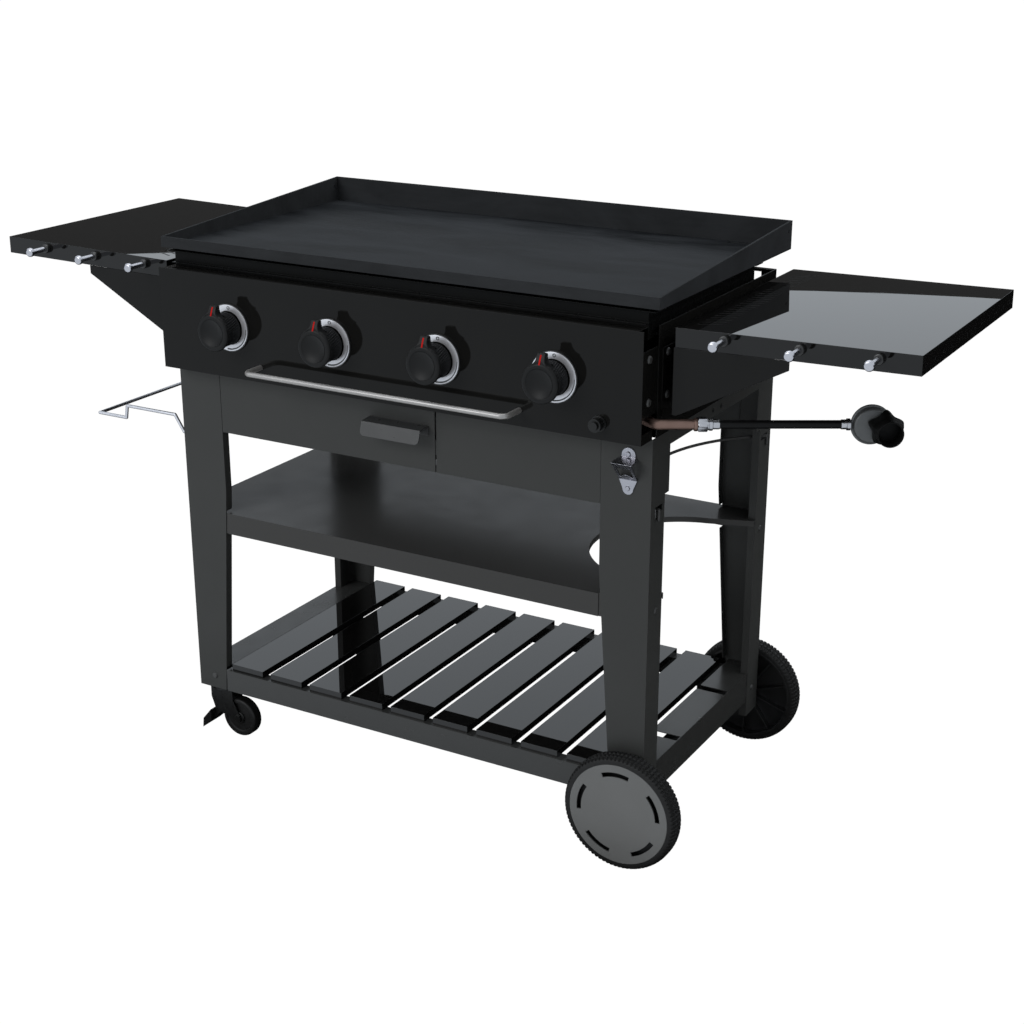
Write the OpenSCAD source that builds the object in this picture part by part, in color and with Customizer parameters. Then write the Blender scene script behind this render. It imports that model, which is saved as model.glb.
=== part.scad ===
// Outdoor gas griddle station on a four-legged cart.
// X runs along the control panel, Y runs from the front to the back, Z is up.
// The origin is on the ground under the middle of the station.

/* [Cart frame] */
// Width over the outer faces of the legs
cart_w = 913.4; // [890:0.2:930]
// Depth from the front face of the front legs to the back face of the rear legs
cart_d = 482; // [470:1:490]
// How far the front legs stand behind the face of the control panel
leg_setback = 38.7; // [37:0.1:41]
// Height of the legs' top ends
leg_top_z = 727; // [715:1:740]
// Height of the underside of the lower frame
base_z = 106.7; // [106:0.1:109]
// Thickness of the cart's sheet steel
sheet_t = 1.5; // [1.2:0.1:1.6]
// Width of a leg's face above its taper
leg_w = 86.7; // [80:0.5:90]
// Width of a leg's face at its foot
leg_foot_w = 59.7; // [58:0.5:66]
// Depth of a leg's side flange
leg_flange_d = 48.8; // [47:0.2:52]
// Height at which the legs start to taper
taper_z = 500; // [480:1:520]

/* [Middle shelf and drawer] */
// Height of the middle shelf's top
mid_shelf_z = 460; // [450:1:480]
// Height of the middle shelf's front flange
mid_flange_h = 39; // [30:1:45]
// Radius of the cut-out for the gas bottle
bottle_cut_r = 165.5; // [155:0.5:170]
// Height of the front panel between the legs
apron_h = 116.5; // [105:0.5:120]
// Width of the drawer front
drawer_w = 438; // [400:1:460]
// Depth of the drawer box
drawer_d = 400; // [350:1:420]

/* [Lower shelf] */
// Number of slats
slat_count = 9; // [7:1:9]
// Width of one slat
slat_w = 69; // [60:1:74]
// Distance from slat to slat
slat_pitch = 87.2; // [80:0.2:88]
// Height of the rails at the front and back
rail_h = 41.5; // [40:0.1:44]
// Height of the rails at the sides
side_rail_h = 56.3; // [50:0.1:58]

/* [Wheels and casters] */
// Radius of the large wheels
wheel_r = 100.2; // [98:0.1:100.4]
// Width of the large wheels
wheel_w = 35; // [30:0.5:36]
// Radius of the wheel axle
axle_r = 6; // [5:0.1:6.2]
// Radius of the caster wheels
caster_r = 37.5; // [34:0.5:38]
// Width of the caster wheels
caster_w = 24; // [20:0.5:26]
// Distance from the swivel axis to the caster wheel's axle
caster_trail = 35.2; // [30:0.2:38]

/* [Body and control panel] */
// Height of the control panel
panel_h = 173.7; // [168:0.1:180]
// Thickness of the panel and firebox sheet
panel_t = 1.2; // [1:0.1:1.4]
// Depth of the body behind the panel
body_d = 510; // [500:1:518]

/* [Griddle plate] */
// Width of the griddle plate
plate_w = 936; // [925:1:945]
// Depth of the griddle plate
plate_d = 517.6; // [510:0.2:522]
// Thickness of the griddle plate
plate_t = 4; // [3:0.1:5]
// Height of the plate's front wall
front_wall_h = 18.2; // [12:0.2:24]
// Height of the plate's back wall
back_wall_h = 48.6; // [40:0.2:60]

/* [Knobs] */
// Distance from knob to knob
knob_pitch = 205.6; // [190:0.2:210]
// Radius of a knob's face
knob_r = 31.6; // [29:0.1:33]
// Distance from the panel to a knob's face
knob_reach = 48.2; // [47.6:0.1:50]
// Outer radius of a bezel
bezel_r = 41; // [38:0.5:43]
// How far a knob is pushed in before it turns
knob_push = 3; // [1:0.5:3]

/* [Side shelves] */
// Width of one side shelf
shelf_w = 369.8; // [340:0.2:390]
// Depth of one side shelf
shelf_d = 471.5; // [460:0.5:480]
// Height of a shelf's skirt
shelf_h = 29.5; // [27:0.5:34]
// Number of vent slots in a shelf
vent_count = 26; // [20:1:27]

/* [Gas line] */
// Radius of the copper supply pipe
pipe_r = 8; // [7:0.1:8.4]
// Radius of the gas hose
hose_r = 6.5; // [6:0.1:7]
// Radius of the regulator's body
regulator_r = 31; // [28:0.5:33]
// Inside radius of the bottle connector's mouth
mouth_r = 16.7; // [16:0.1:17.2]

/* [Hidden] */
$fn = 64;

// One overrun serves every cut
over = 1;
// Gap between pieces that slide past each other
slide_gap = 0.3;
// Radial gap of a shaft that turns in its hole
run_gap = 0.05;
// Gap left beside a piece that is set between two others
set_gap = 0.5;

// Places of the frame's main faces
cart_x = cart_w / 2;
front_y = leg_setback;
back_y = leg_setback + cart_d;
mid_y = (front_y + back_y) / 2;
wheel_gap = 3;
wheel_front_y = front_y - wheel_gap - wheel_w;
wheel_back_y = back_y + wheel_gap + wheel_w;
centre_y = (wheel_back_y - knob_reach) / 2;

// Legs
leg_in_x = cart_x - sheet_t;
leg_lip_w = 13.7;
leg_return_d = 16;
leg_return_gap = 5;
leg_return_lift = 4;
leg_head_d = 63.3;
leg_head_h = 100;
leg_flange_y = front_y + leg_flange_d;
leg_foot_drop = 28.7;
hook_slot_in = 15.3;
hook_slot_y = front_y + hook_slot_in;
hook_slot_d = 26;
hook_slot_w = 7;
hook_slot_h = 10;
hook_slot_drop = 12;

// Front panel, drawer and runners
apron_z = leg_top_z - apron_h;
drawer_gap = 3;
drawer_x0 = leg_w - cart_x + 2 * set_gap;
drawer_x1 = drawer_x0 + drawer_w;
tongue_w = 6;
tongue_h = 12.2;
tab_w = 44;
drawer_box_inset = 19;
drawer_box_rise = 9.5;
drawer_box_z = apron_z + drawer_box_rise;
drawer_box_h = 70;
drawer_rim_w = 11;
runner_rise = 20;
runner_h = 25;
runner_inset = 5;
runner_tab_w = 16;
handle_w = 114;
handle_below_top = 42.5;
handle_z = leg_top_z - handle_below_top;
handle_flange_h = 13;
handle_reach = 23.7;
handle_drop = 21.5;
handle_lip_reach = 30.7;
handle_t = 3.5;
handle_corner_r = 8;
rear_apron_overlap = 29;

// Upper side rails
upper_rail_h = 23.5;
rail_hole_r = 4;
rail_hole_dy = 15.7;
rail_tab_d = 10;

// Middle shelf
bottle_cut_in = 42.2;
bottle_cut_x = cart_x - bottle_cut_in;
bay_flare_from = 12;
bay_flare_to = 18;
bottle_flange_h = 10;
mid_tab_w = 56;

// Lower frame
rail_flange_d = 22;
rail_foot_d = 12;
side_flange_w = 54;
side_foot_w = 70;
end_tab_w = 14;
cross_slot_w = 17;
cross_slot_dy = 100;
slat_h = 12.3;
slat_inset = 5;

// Wheels
wheel_in = 26;
wheel_x = cart_x - wheel_in;
axle_z = wheel_r;
tread_h = 4.5;
tread_count = 44;
groove_w = 4.2;
tyre_base_r = 88;
hub_rim_t = 4;
hub_edge = 1;
hub_cap_t = 2.5;
hub_sleeve_r = 14;
hub_web_t = 3;
hub_web_y = 15;
hub_slot_r = 66.6;
hub_slot_w = 7.9;
hub_slot_count = 5;
hub_slot_start = 95.1;
hub_slot_span = 39;
hub_rib_count = 10;
axle_end_gap = 8;
axle_nut_r = 10;
axle_nut_t = 4;
nut_gap = 1;

// Casters
caster_x = wheel_x;
caster_in = 40.3;
caster_y = front_y + caster_in;
caster_plate_t = 3;
caster_plate_w = 66;
caster_plate_out = 25;
race_r = 25;
race_h = 7.5;
kingpin_r = 5;
kingpin_head_r = 9;
kingpin_head_t = 3;
fork_top_t = 3.4;
fork_cheek_t = 2;
fork_side_gap = 1;
caster_axle_r = 4;
caster_axle_head_r = 7;
caster_hub_r = 11;
caster_rim_r = 29;
caster_rim_inset = 4;
caster_edge = 1;
caster_axle_z = caster_r;
caster_axle_x = caster_x - caster_trail;
caster_plate_z = base_z - caster_plate_t;
fork_top_z = caster_plate_z - race_h;
pedal_pin_dx = 45;
pedal_pin_dz = 6;
pedal_pin_r = 2.5;
pedal_eye_r = 5.5;
pedal_l = 32;
pedal_t = 2;
pedal_drop = 38;
pedal_w = 24;
pedal_tail_w = 50;
pedal_neck_l = 11;

// Body
panel_inset = 1.4;
panel_x = cart_x - panel_inset;
panel_top_z = leg_top_z + panel_h;
panel_return_d = 49.5;
panel_return_rise = 40;
panel_return_z = leg_top_z + panel_return_rise;
panel_return_h = 102;
panel_foot_d = 16;
panel_low_return_h = 16;
body_h = 173;
body_top_z = leg_top_z + body_h;
body_front_y = panel_return_d + 2 * set_gap;
body_foot_w = 60;
joggle_d = 2;
lap_tab_y = 10;
vent_rail_h = 7;
vent_open_h = 43;
vent_end_w = 25.2;
low_vent_count = 5;
low_vent_w = 60;
low_vent_pitch = 120;
low_vent_x = -300;
low_vent_h = 8;
low_vent_z = 60;
rear_lip_d = 10;
rest_tab_x = 300;
rest_tab_w = 30;

// Firebox
box_inset = 10.5;
box_x = cart_x - box_inset;
box_front_y = 34;
box_low_y = 92;
box_back_gap = 73;
box_back_y = body_d - box_back_gap;
box_rim_rise = 24.1;
box_top_z = panel_top_z + box_rim_rise;
box_ledge_drop = 20.7;
box_ledge_z = panel_top_z - box_ledge_drop;
box_floor_rise = 43;
box_floor_z = leg_top_z + box_floor_rise;
box_lip_d = 6;
box_mid_lip_rise = 4.3;
box_mid_lip_z = panel_top_z + box_mid_lip_rise;
box_mid_lip_d = 10;
box_ear_w = 14.5;
box_ear_d = 30;
box_hanger_drop = 15.7;
box_hanger_z = panel_top_z - box_hanger_drop;

// Griddle plate
plate_y = 24.9;
plate_gap = 4.5;
plate_z = box_top_z + plate_gap;
plate_pad_r = 6;
plate_pad_out = 7.3;
plate_pad_x = box_x + plate_pad_out;
plate_hole_r = 2.2;
plate_hole_dy = 14.7;
plate_hole_drop = 16.7;
plate_hole_z = plate_z + back_wall_h - plate_hole_drop;
drain_in = 88;
drain_x = plate_w / 2 - drain_in;
drain_w = 40;
drain_l = 9;
drain_back = 6;
chute_t = 1.5;
chute_gap = 9.3;

// Grease cup
cup_w = 80;
cup_gap = 3;
cup_y = body_d + cup_gap;
cup_d = 40;
cup_h = 78;
cup_rise = 117;
cup_top_z = leg_top_z + cup_rise;
chute_h = plate_z - cup_top_z - chute_gap;
cup_rim_w = 8;
cup_rail_w = 10;
cup_rail_h = 12;

// Gas train
knob_rise = 87;
knob_z = leg_top_z + knob_rise;
knob_count = 4;
knob_offset = (knob_count - 1) / 2;
stem_r = 4;
stem_tip_y = -34;
stem_back_y = 24;
stem_hole_r = 8;
valve_w = 22;
valve_y0 = 10;
valve_y1 = 46;
valve_top = 12;
valve_boss_r = 9;
valve_boss_l = 4;
spud_r = 4;
spud_l = 12;
manifold_r = 9.5;
manifold_y = 40;
manifold_drop = 26;
manifold_z = knob_z - manifold_drop;
manifold_end = 20;
elbow_in = 70.7;
elbow_x0 = cart_x - elbow_in;
elbow_w = 24;
elbow_y0 = 26;
elbow_d = 58;
elbow_drop = 50;
burner_r = 11;
burner_wall = 1;
burner_y0 = 50;
burner_y1 = 420;
port_count = 14;
port_w = 1.6;
port_h = 3;
port_start = 120;
port_pitch = 20;

// Knobs and bezels
knob_back = 6.5;
knob_back_r = 27.5;
knob_waist_r = 29.3;
knob_flange_t = 6.5;
knob_edge = 1.8;
dish_r = 23;
dish_depth = 4.5;
dish_steps = 6;
knob_bore_depth = 0.5;
rib_count = 36;
rib_gap_w = 2;
rib_gap_d = 1.1;
lug_h = 45;
lug_tip_w = 12;
lug_neck_w = 15;
lug_neck_h = 37;
lug_root_w = 27;
lug_root_h = 26;
lug_chamfer = 2;
lug_t = 16;
lug_slope = 7.5;
bezel_in_r = 28.2;
bezel_t = 5;
bezel_edge = 1.5;

// Igniter
igniter_in = 70.3;
igniter_x = panel_x - igniter_in;
igniter_rise = 25.5;
igniter_z = leg_top_z + igniter_rise;
igniter_flange_r = 12.5;
igniter_flange_t = 3;
igniter_collar_r = 10.5;
igniter_reach = 16;
igniter_barrel_r = 9;
igniter_barrel_l = 24;
igniter_depth = 6;
button_r = 6.5;
button_travel = 4;
button_l = 18;

// Towel bar
bar_r = 4.5;
bar_x = 248;
bar_rise = 25.5;
bar_z = leg_top_z + bar_rise;
bar_reach = 43;
bar_bend_r = 12;
bar_tail = 6;
bar_collar_r = 7.5;
bar_collar_t = 3;

// Side shelves
shelf_gap = 25.2;
shelf_x = cart_x + shelf_gap;
shelf_clear = 1.8;
shelf_y = panel_return_d + shelf_clear;
shelf_rise = 173.1;
shelf_z = leg_top_z + shelf_rise;
shelf_t = 1.5;
shelf_tilt = 0.945;
vent_l = 38.2;
vent_w = 3;
vent_angle = 21.8;
vent_end = 39.5;
vent_inset = 38.6;
skirt_hole_count = 12;
skirt_hole_r = 2;
skirt_hole_end = 19.6;
skirt_hole_drop = 16;
hook_drop = 11.5;
hook_pin_r = 4.5;
hook_collar_r = 8;
hook_collar_l = 8;
hook_head_r = 8;
hook_head_l = 8;
hook_reach = 47;
hook_edge = 2;
right_hook_shares = [0.211, 0.523, 0.836];
left_hook_shares = [0.133, 0.441, 0.752];

// Shelf brackets
bracket_lap = 1.9;
bracket_x0 = shelf_x - bracket_lap;
bracket_l = 180;
bracket_tip_h = 15;
bracket_foot_rise = 39;
bracket_foot_z = leg_top_z + bracket_foot_rise;
bracket_foot_w = 7;
bracket_spine_d = 64;
bracket_flange_d = 52;
bracket_flange_rise = 29;
bracket_flange_z = leg_top_z + bracket_flange_rise;
bracket_flange_h = 108;
bracket_drop = 4;
bracket_tab_x = 12;
bracket_tab_l = 130;
bracket_tab_h = 24;

// Copper pipe, hose and regulator: a bend, then one straight run in plan
bend_out = 5.3;
bend_y = 33;
pipe_rise = 26.7;
bend = [cart_x + bend_out, bend_y, leg_top_z + pipe_rise];
inner_angle = -30.7;
inner_l = 70;
pipe_start = bend - inner_l * [cos(inner_angle), sin(inner_angle), 0];
run_angle = 30;
copper_l = 63;
pipe_bend_r = 14;
hex_l = 23;
hex_flat_l = 15.3;
hex_r = 11.5;
hex_sleeve_r = 9.5;
ferrule_l = 10;
hose_end = 276.5;
nut_r = 9;
nut_neck_r = 7.5;
nut_neck_l = 8;
regulator_s = 321.6;
regulator_t = 24;
regulator_edge = 5;
wheel_offset = 18.4;
handwheel_r = 22.5;
handwheel_lobe_r = 8;
handwheel_lobe_at = 20;
handwheel_lobes = 5;
handwheel_end = 55;
handwheel_neck_l = 12;
mouth_wall_r = 19.8;
mouth_depth = 26;
spigot_r = 9;
spigot_l = 9;
nut_hex_sides = 6;

// The hose's route, a point every 2 diameters, and the number of its sides
hose_points = [
    [545.3, 81.1, 753.7], [555.7, 87.1, 753.7], [566.1, 93.1, 753.7], [576.5, 99.1, 753.7],
    [586.9, 105.1, 753.7], [597.3, 111.1, 753.7], [607.7, 117.1, 753.7], [618.1, 123.1, 753.7],
    [628.5, 129.1, 753.7], [638.9, 135.1, 753.7], [649.3, 141.1, 753.7], [659.7, 147.1, 753.7],
    [670.1, 153.1, 753.7], [680.5, 159.1, 753.7], [690.9, 165.1, 753.7], [701.3, 171.2, 753.7]
];
hose_sides = 12;

// Bottle opener
opener_in = 39.2;
opener_x = cart_x - opener_in;
opener_drop = 93;
opener_z = leg_top_z - opener_drop;
opener_h = 75;
opener_top_r = 11.5;
opener_low_r = 9;
opener_waist = 15.1;
opener_w = 34.4;
opener_t = 2;
opener_tab_h = 14.8;
opener_edge_drop = 4.6;
opener_hood_low = 51.4;
opener_reach = 25.5;
opener_screw_in = 10;
opener_screw_r = 4.2;
opener_screw_t = 2.2;
opener_hole_r = 2.5;
opener_mouth_w = 23;
opener_mouth_h = 17;
opener_mouth_rise = 6;
opener_tongue_r = 10.5;

// Trash bag wire
bag_wire_r = 3;
bag_wire_in = 23.3;
bag_wire_y = front_y + bag_wire_in;
bag_wire_drop = 138;
bag_wire_z = leg_top_z - bag_wire_drop;
bag_step1 = 20.3;
bag_step2 = 39.3;
bag_step3 = 151.3;
bag_step4 = 155.3;
bag_reach = 219.3;
bag_rise = 29;
bag_low = 6;
bag_tail = 8;

// Tank wire
tank_wire_r = 2.5;
tank_wire_drop = 118;
tank_wire_z = leg_top_z - tank_wire_drop;
tank_bow = 106.8;
tank_end_out = 3.15;
tank_hook_in = 21.9;
tank_half_l = mid_y - front_y - tank_hook_in;
tank_arc_r = (pow(tank_half_l, 2) + pow(tank_bow, 2)) / (2 * tank_bow);
tank_arc_half = asin(tank_half_l / tank_arc_r);
tank_wire_x = cart_x + tank_end_out + tank_arc_r * cos(tank_arc_half);
tank_hook_l = 17;

// Fasteners
bolt_r = 6.5;
bolt_t = 2.6;
screw_r = 6;
screw_t = 2.4;
head_top_share = 0.75;
panel_bolt_y = 21.5;
bracket_bolt_y = 80;
upper_bolt_rise = 127.5;
upper_bolt_z = leg_top_z + upper_bolt_rise;
lower_bolt_rise = 62;
lower_bolt_z = leg_top_z + lower_bolt_rise;
leg_screw_drop = 21.4;
leg_screw_z = mid_shelf_z - leg_screw_drop;
leg_screw_in = 27;
leg_screw_y = front_y + leg_screw_in;
foot_screw_rise = 21.2;
foot_screw_z = base_z + foot_screw_rise;
face_screw_in = 35.3;
face_screw_x = cart_x - face_screw_in;
face_screw_rise = 25;
face_screw_z = base_z + face_screw_rise;

// A solid between two opposite corners
module slab(lo, hi) translate(lo) cube(hi - lo);

// Puts the modelling frame, whose Y is zero at the panel's face, over the origin
module placed() translate([0, -centre_y, 0]) children();

// A copy on the other side of the YZ plane
module both_sides() { children(); mirror([1, 0, 0]) children(); }

// The same shape seen from the back, about the plane y = at
module turned(at) translate([0, 2 * at, 0]) mirror([0, 1, 0]) children();

// A round bar between two points
module rod(p, q, r) {
    d = q - p;
    l = norm(d);
    translate(p) rotate([0, acos(d[2] / l), atan2(d[1], d[0])]) cylinder(h = l, r = r);
}

// How a bent bar turns at its point i: the way in, the way out, and the length that the bend takes
function way(p, i) = (p[i + 1] - p[i]) / norm(p[i + 1] - p[i]);
function turn_at(p, i) = acos(way(p, i - 1) * way(p, i));
function trim_at(p, i, bend_r) = i == 0 || i == len(p) - 1 ? 0 : bend_r * tan(turn_at(p, i) / 2);

// A bent bar through a list of points, each bend an exact arc of radius bend_r
module wire(points, r, bend_r) {
    for (i = [0 : len(points) - 2])
        rod(points[i] + trim_at(points, i, bend_r) * way(points, i),
            points[i + 1] - trim_at(points, i + 1, bend_r) * way(points, i), r);
    for (i = [1 : len(points) - 2]) {
        turn = turn_at(points, i);
        ahead = way(points, i - 1);
        inward = (way(points, i) - cos(turn) * ahead) / sin(turn);
        over_way = cross(ahead, inward);
        c = points[i] - trim_at(points, i, bend_r) * ahead + bend_r * inward;
        multmatrix([[-inward[0], ahead[0], over_way[0], c[0]], [-inward[1], ahead[1], over_way[1], c[1]],
            [-inward[2], ahead[2], over_way[2], c[2]], [0, 0, 0, 1]])
            rotate_extrude(angle = turn, $fn = 32) translate([bend_r, 0]) circle(r = r, $fn = 32);
    }
}

// A thin wire through a list of points, with a ball a little proud of the wire at each bend
module thin_wire(points, r) {
    for (i = [0 : len(points) - 2]) rod(points[i], points[i + 1], r);
    for (i = [1 : len(points) - 2]) translate(points[i]) sphere(r = r + run_gap);
}

// A cylinder along Y from y0 to y1
module along_y(x, z, y0, y1, r) translate([x, y0, z]) rotate([-90, 0, 0]) cylinder(h = y1 - y0, r = r);

// A flat outline in X and Z, standing between two values of Y
module upright(y0, y1) translate([0, y1, 0]) rotate([90, 0, 0]) linear_extrude(height = y1 - y0) children();

// A rectangle with round lower corners, exact arcs, its top edge on z = top
module tongue_outline(w, top, h, r) {
    translate([-w / 2, top - h + r]) square([w, h - r]);
    translate([-w / 2 + r, top - h]) square([w - 2 * r, r]);
    for (s = [-1, 1]) translate([s * (w / 2 - r), top - h + r]) circle(r = r);
}

// The return along a leg's inner edge, from above the rail to the apron, cut out for the shelf's flange
module leg_return(rail_top) {
    low_z = rail_top + leg_return_gap;
    low_x = cart_x - leg_foot_w - (leg_w - leg_foot_w) * (low_z - base_z) / (taper_z - base_z);
    top_x = cart_x - leg_w;
    top_z = apron_z - set_gap;
    difference() {
        upright(front_y, front_y + leg_return_d) polygon([[low_x, low_z], [low_x + sheet_t, low_z],
            [top_x + sheet_t, taper_z], [top_x + sheet_t, top_z], [top_x, top_z], [top_x, taper_z]]);
        slab([top_x - over, front_y + sheet_t, mid_shelf_z - mid_flange_h - set_gap],
            [cart_x, front_y + leg_return_d + over, mid_shelf_z + leg_return_lift]);
    }
}

// A leg, drawn as the right front one
module leg(low_z, rail_top, hook) {
    lip_y = leg_flange_y - sheet_t;
    difference() {
        union() {
            leg_return(rail_top);
            upright(front_y, front_y + sheet_t) polygon([[cart_x, base_z], [cart_x, leg_top_z],
                [cart_x - leg_w, leg_top_z], [cart_x - leg_w, taper_z],
                [cart_x - leg_foot_w, base_z]]);
            slab([cart_x - leg_foot_w, front_y, low_z], [cart_x, front_y + sheet_t, base_z + over]);
            slab([leg_in_x, front_y, low_z], [cart_x, leg_flange_y, leg_top_z]);
            slab([leg_in_x, front_y, leg_top_z - leg_head_h],
                [cart_x, front_y + leg_head_d, leg_top_z]);
            slab([cart_x - leg_lip_w, lip_y, low_z], [cart_x, leg_flange_y, leg_top_z - leg_head_h]);
        }
        along_y(wheel_x, axle_z, front_y - over, front_y + sheet_t + over, axle_r + run_gap);
        if (hook) {
            slab([leg_in_x - over, hook_slot_y, tank_wire_z - hook_slot_h / 2],
                [cart_x + over, hook_slot_y + hook_slot_d, tank_wire_z + hook_slot_h / 2]);
            slab([leg_in_x - over, hook_slot_y, tank_wire_z - hook_slot_h / 2 - hook_slot_drop],
                [cart_x + over, hook_slot_y + hook_slot_w, tank_wire_z]);
        }
    }
}

// A left leg stands on its caster, so it has a foot plate and the hole for the bag wire
module caster_leg() {
    difference() {
        union() {
            leg(base_z, base_z + rail_h, false);
            slab([cart_x - leg_foot_w, front_y, base_z], [cart_x, leg_flange_y, base_z + sheet_t]);
        }
        translate([leg_in_x - over, bag_wire_y, bag_wire_z]) rotate([0, 90, 0])
            cylinder(h = sheet_t + 2 * over, r = bag_wire_r + run_gap);
    }
}

// A right leg stands on the wheel axle and hooks the tank wire
module wheel_leg() leg(base_z - leg_foot_drop, base_z + side_rail_h, true);

module front_right_leg() placed() color("#3c3e3d") wheel_leg();
module rear_right_leg() placed() color("#3c3e3d") turned(mid_y) wheel_leg();
module front_left_leg() placed() color("#3c3e3d") mirror([1, 0, 0]) caster_leg();
module rear_left_leg() placed() color("#3c3e3d") mirror([1, 0, 0]) turned(mid_y) caster_leg();

// Side rails under the body and the apron between the rear legs
module upper_rails() placed() color("#3c3e3d") {
    rail_y0 = front_y + leg_head_d;
    rail_y1 = back_y - leg_head_d;
    both_sides() difference() {
        union() {
            slab([leg_in_x, rail_y0, leg_top_z - upper_rail_h], [cart_x, rail_y1, leg_top_z]);
            slab([leg_in_x - sheet_t, rail_y0 - rail_tab_d, leg_top_z - upper_rail_h],
                [leg_in_x, rail_y1 + rail_tab_d, leg_top_z]);
        }
        for (s = [-1, 1]) translate([leg_in_x - sheet_t - over, mid_y + s * rail_hole_dy,
            leg_top_z - upper_rail_h / 2]) rotate([0, 90, 0])
            cylinder(h = 2 * sheet_t + 2 * over, r = rail_hole_r);
    }
    apron_x = cart_x - leg_w + rear_apron_overlap;
    slab([-apron_x, back_y - 2 * sheet_t, apron_z], [apron_x, back_y - sheet_t, leg_top_z]);
}

// The apron right of the drawer, with a tab behind the leg and a tongue behind the seam
module fixed_front_panel() placed() color("#3c3e3d") {
    x0 = drawer_x1 + drawer_gap;
    x1 = cart_x - leg_w - set_gap;
    slab([x0, front_y, apron_z], [x1, front_y + sheet_t, leg_top_z]);
    slab([x1 - tab_w, front_y + sheet_t, apron_z], [x1 + tab_w, front_y + 2 * sheet_t, leg_top_z]);
    slab([x0, front_y + sheet_t, apron_z], [x0 + tongue_w, front_y + 2 * sheet_t, apron_z + tongue_h]);
    slab([x0 - tongue_w, front_y + sheet_t + slide_gap, apron_z],
        [x0 + tongue_w, front_y + 2 * sheet_t, apron_z + tongue_h]);
}

module drawer_front() placed() color("#3c3e3d")
    slab([drawer_x0, front_y, apron_z + set_gap], [drawer_x1, front_y + sheet_t, leg_top_z - set_gap]);

// An open sheet box with a rim along each side that rides on the runners
module drawer_box() placed() color("#3c3e3d") {
    x0 = drawer_x0 + drawer_box_inset;
    x1 = drawer_x1 - drawer_box_inset;
    y0 = front_y + sheet_t;
    y1 = y0 + drawer_d;
    rim_z = drawer_box_z + runner_rise + sheet_t + slide_gap;
    difference() {
        slab([x0, y0, drawer_box_z], [x1, y1, drawer_box_z + drawer_box_h]);
        slab([x0 + sheet_t, y0 + sheet_t, drawer_box_z + sheet_t],
            [x1 - sheet_t, y1 - sheet_t, drawer_box_z + drawer_box_h + over]);
    }
    slab([x0 - drawer_rim_w, y0 + drawer_rim_w, rim_z], [x0 + sheet_t, y1, rim_z + sheet_t]);
    slab([x1 - sheet_t, y0 + drawer_rim_w, rim_z], [x1 + drawer_rim_w, y1, rim_z + sheet_t]);
}

// Two angle rails between the front and the rear apron
module drawer_runners() placed() color("#3c3e3d") {
    drawer_mid_x = (drawer_x0 + drawer_x1) / 2;
    web_x = drawer_w / 2 - runner_inset - sheet_t;
    z0 = drawer_box_z + runner_rise;
    for (s = [-1, 1]) translate([drawer_mid_x, 0, 0]) mirror([s < 0 ? 1 : 0, 0, 0]) {
        slab([web_x, front_y + 2 * sheet_t, z0], [web_x + sheet_t, back_y - 2 * sheet_t, z0 + runner_h]);
        slab([web_x - drawer_rim_w, front_y + 2 * sheet_t, z0],
            [web_x + sheet_t, back_y - 2 * sheet_t, z0 + sheet_t]);
        slab([web_x, front_y + sheet_t, z0], [web_x + runner_tab_w, front_y + 2 * sheet_t, z0 + runner_h]);
    }
}

// A folded pull: a flange on the drawer under its shelf, and a lip down with round corners
module drawer_handle() placed() color("#4a4d4e") {
    y0 = front_y;
    z1 = handle_z + handle_t;
    intersection() {
        rotate([90, 0, 90]) translate([0, 0, -handle_w / 2]) linear_extrude(height = handle_w)
            polygon([[y0, z1], [y0, handle_z - handle_flange_h],
                [y0 - sheet_t, handle_z - handle_flange_h], [y0 - sheet_t, handle_z + sheet_t],
                [y0 - handle_reach, handle_z], [y0 - handle_lip_reach, handle_z - handle_drop],
                [y0 - handle_lip_reach - sheet_t, handle_z - handle_drop],
                [y0 - handle_reach - sheet_t, handle_z + sheet_t], [y0 - sheet_t, z1]]);
        upright(y0 - handle_lip_reach - handle_t, y0 + over)
            tongue_outline(handle_w, z1, handle_drop + handle_t, handle_corner_r);
    }
}

// The bay for the gas bottle, round, with a mouth that flares to the shelf's edge
module bay_outline(grow) {
    r = bottle_cut_r + grow;
    flare_x = -r * sin(bay_flare_from);
    flare_y = r * cos(bay_flare_from);
    edge_x = bottle_cut_in + over;
    edge_y = flare_y + (edge_x - flare_x) * tan(bay_flare_to);
    translate([bottle_cut_x, mid_y]) {
        circle(r = r, $fn = 128);
        polygon([[flare_x, -flare_y], [edge_x, -edge_y], [edge_x, edge_y], [flare_x, flare_y]]);
    }
}

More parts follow.
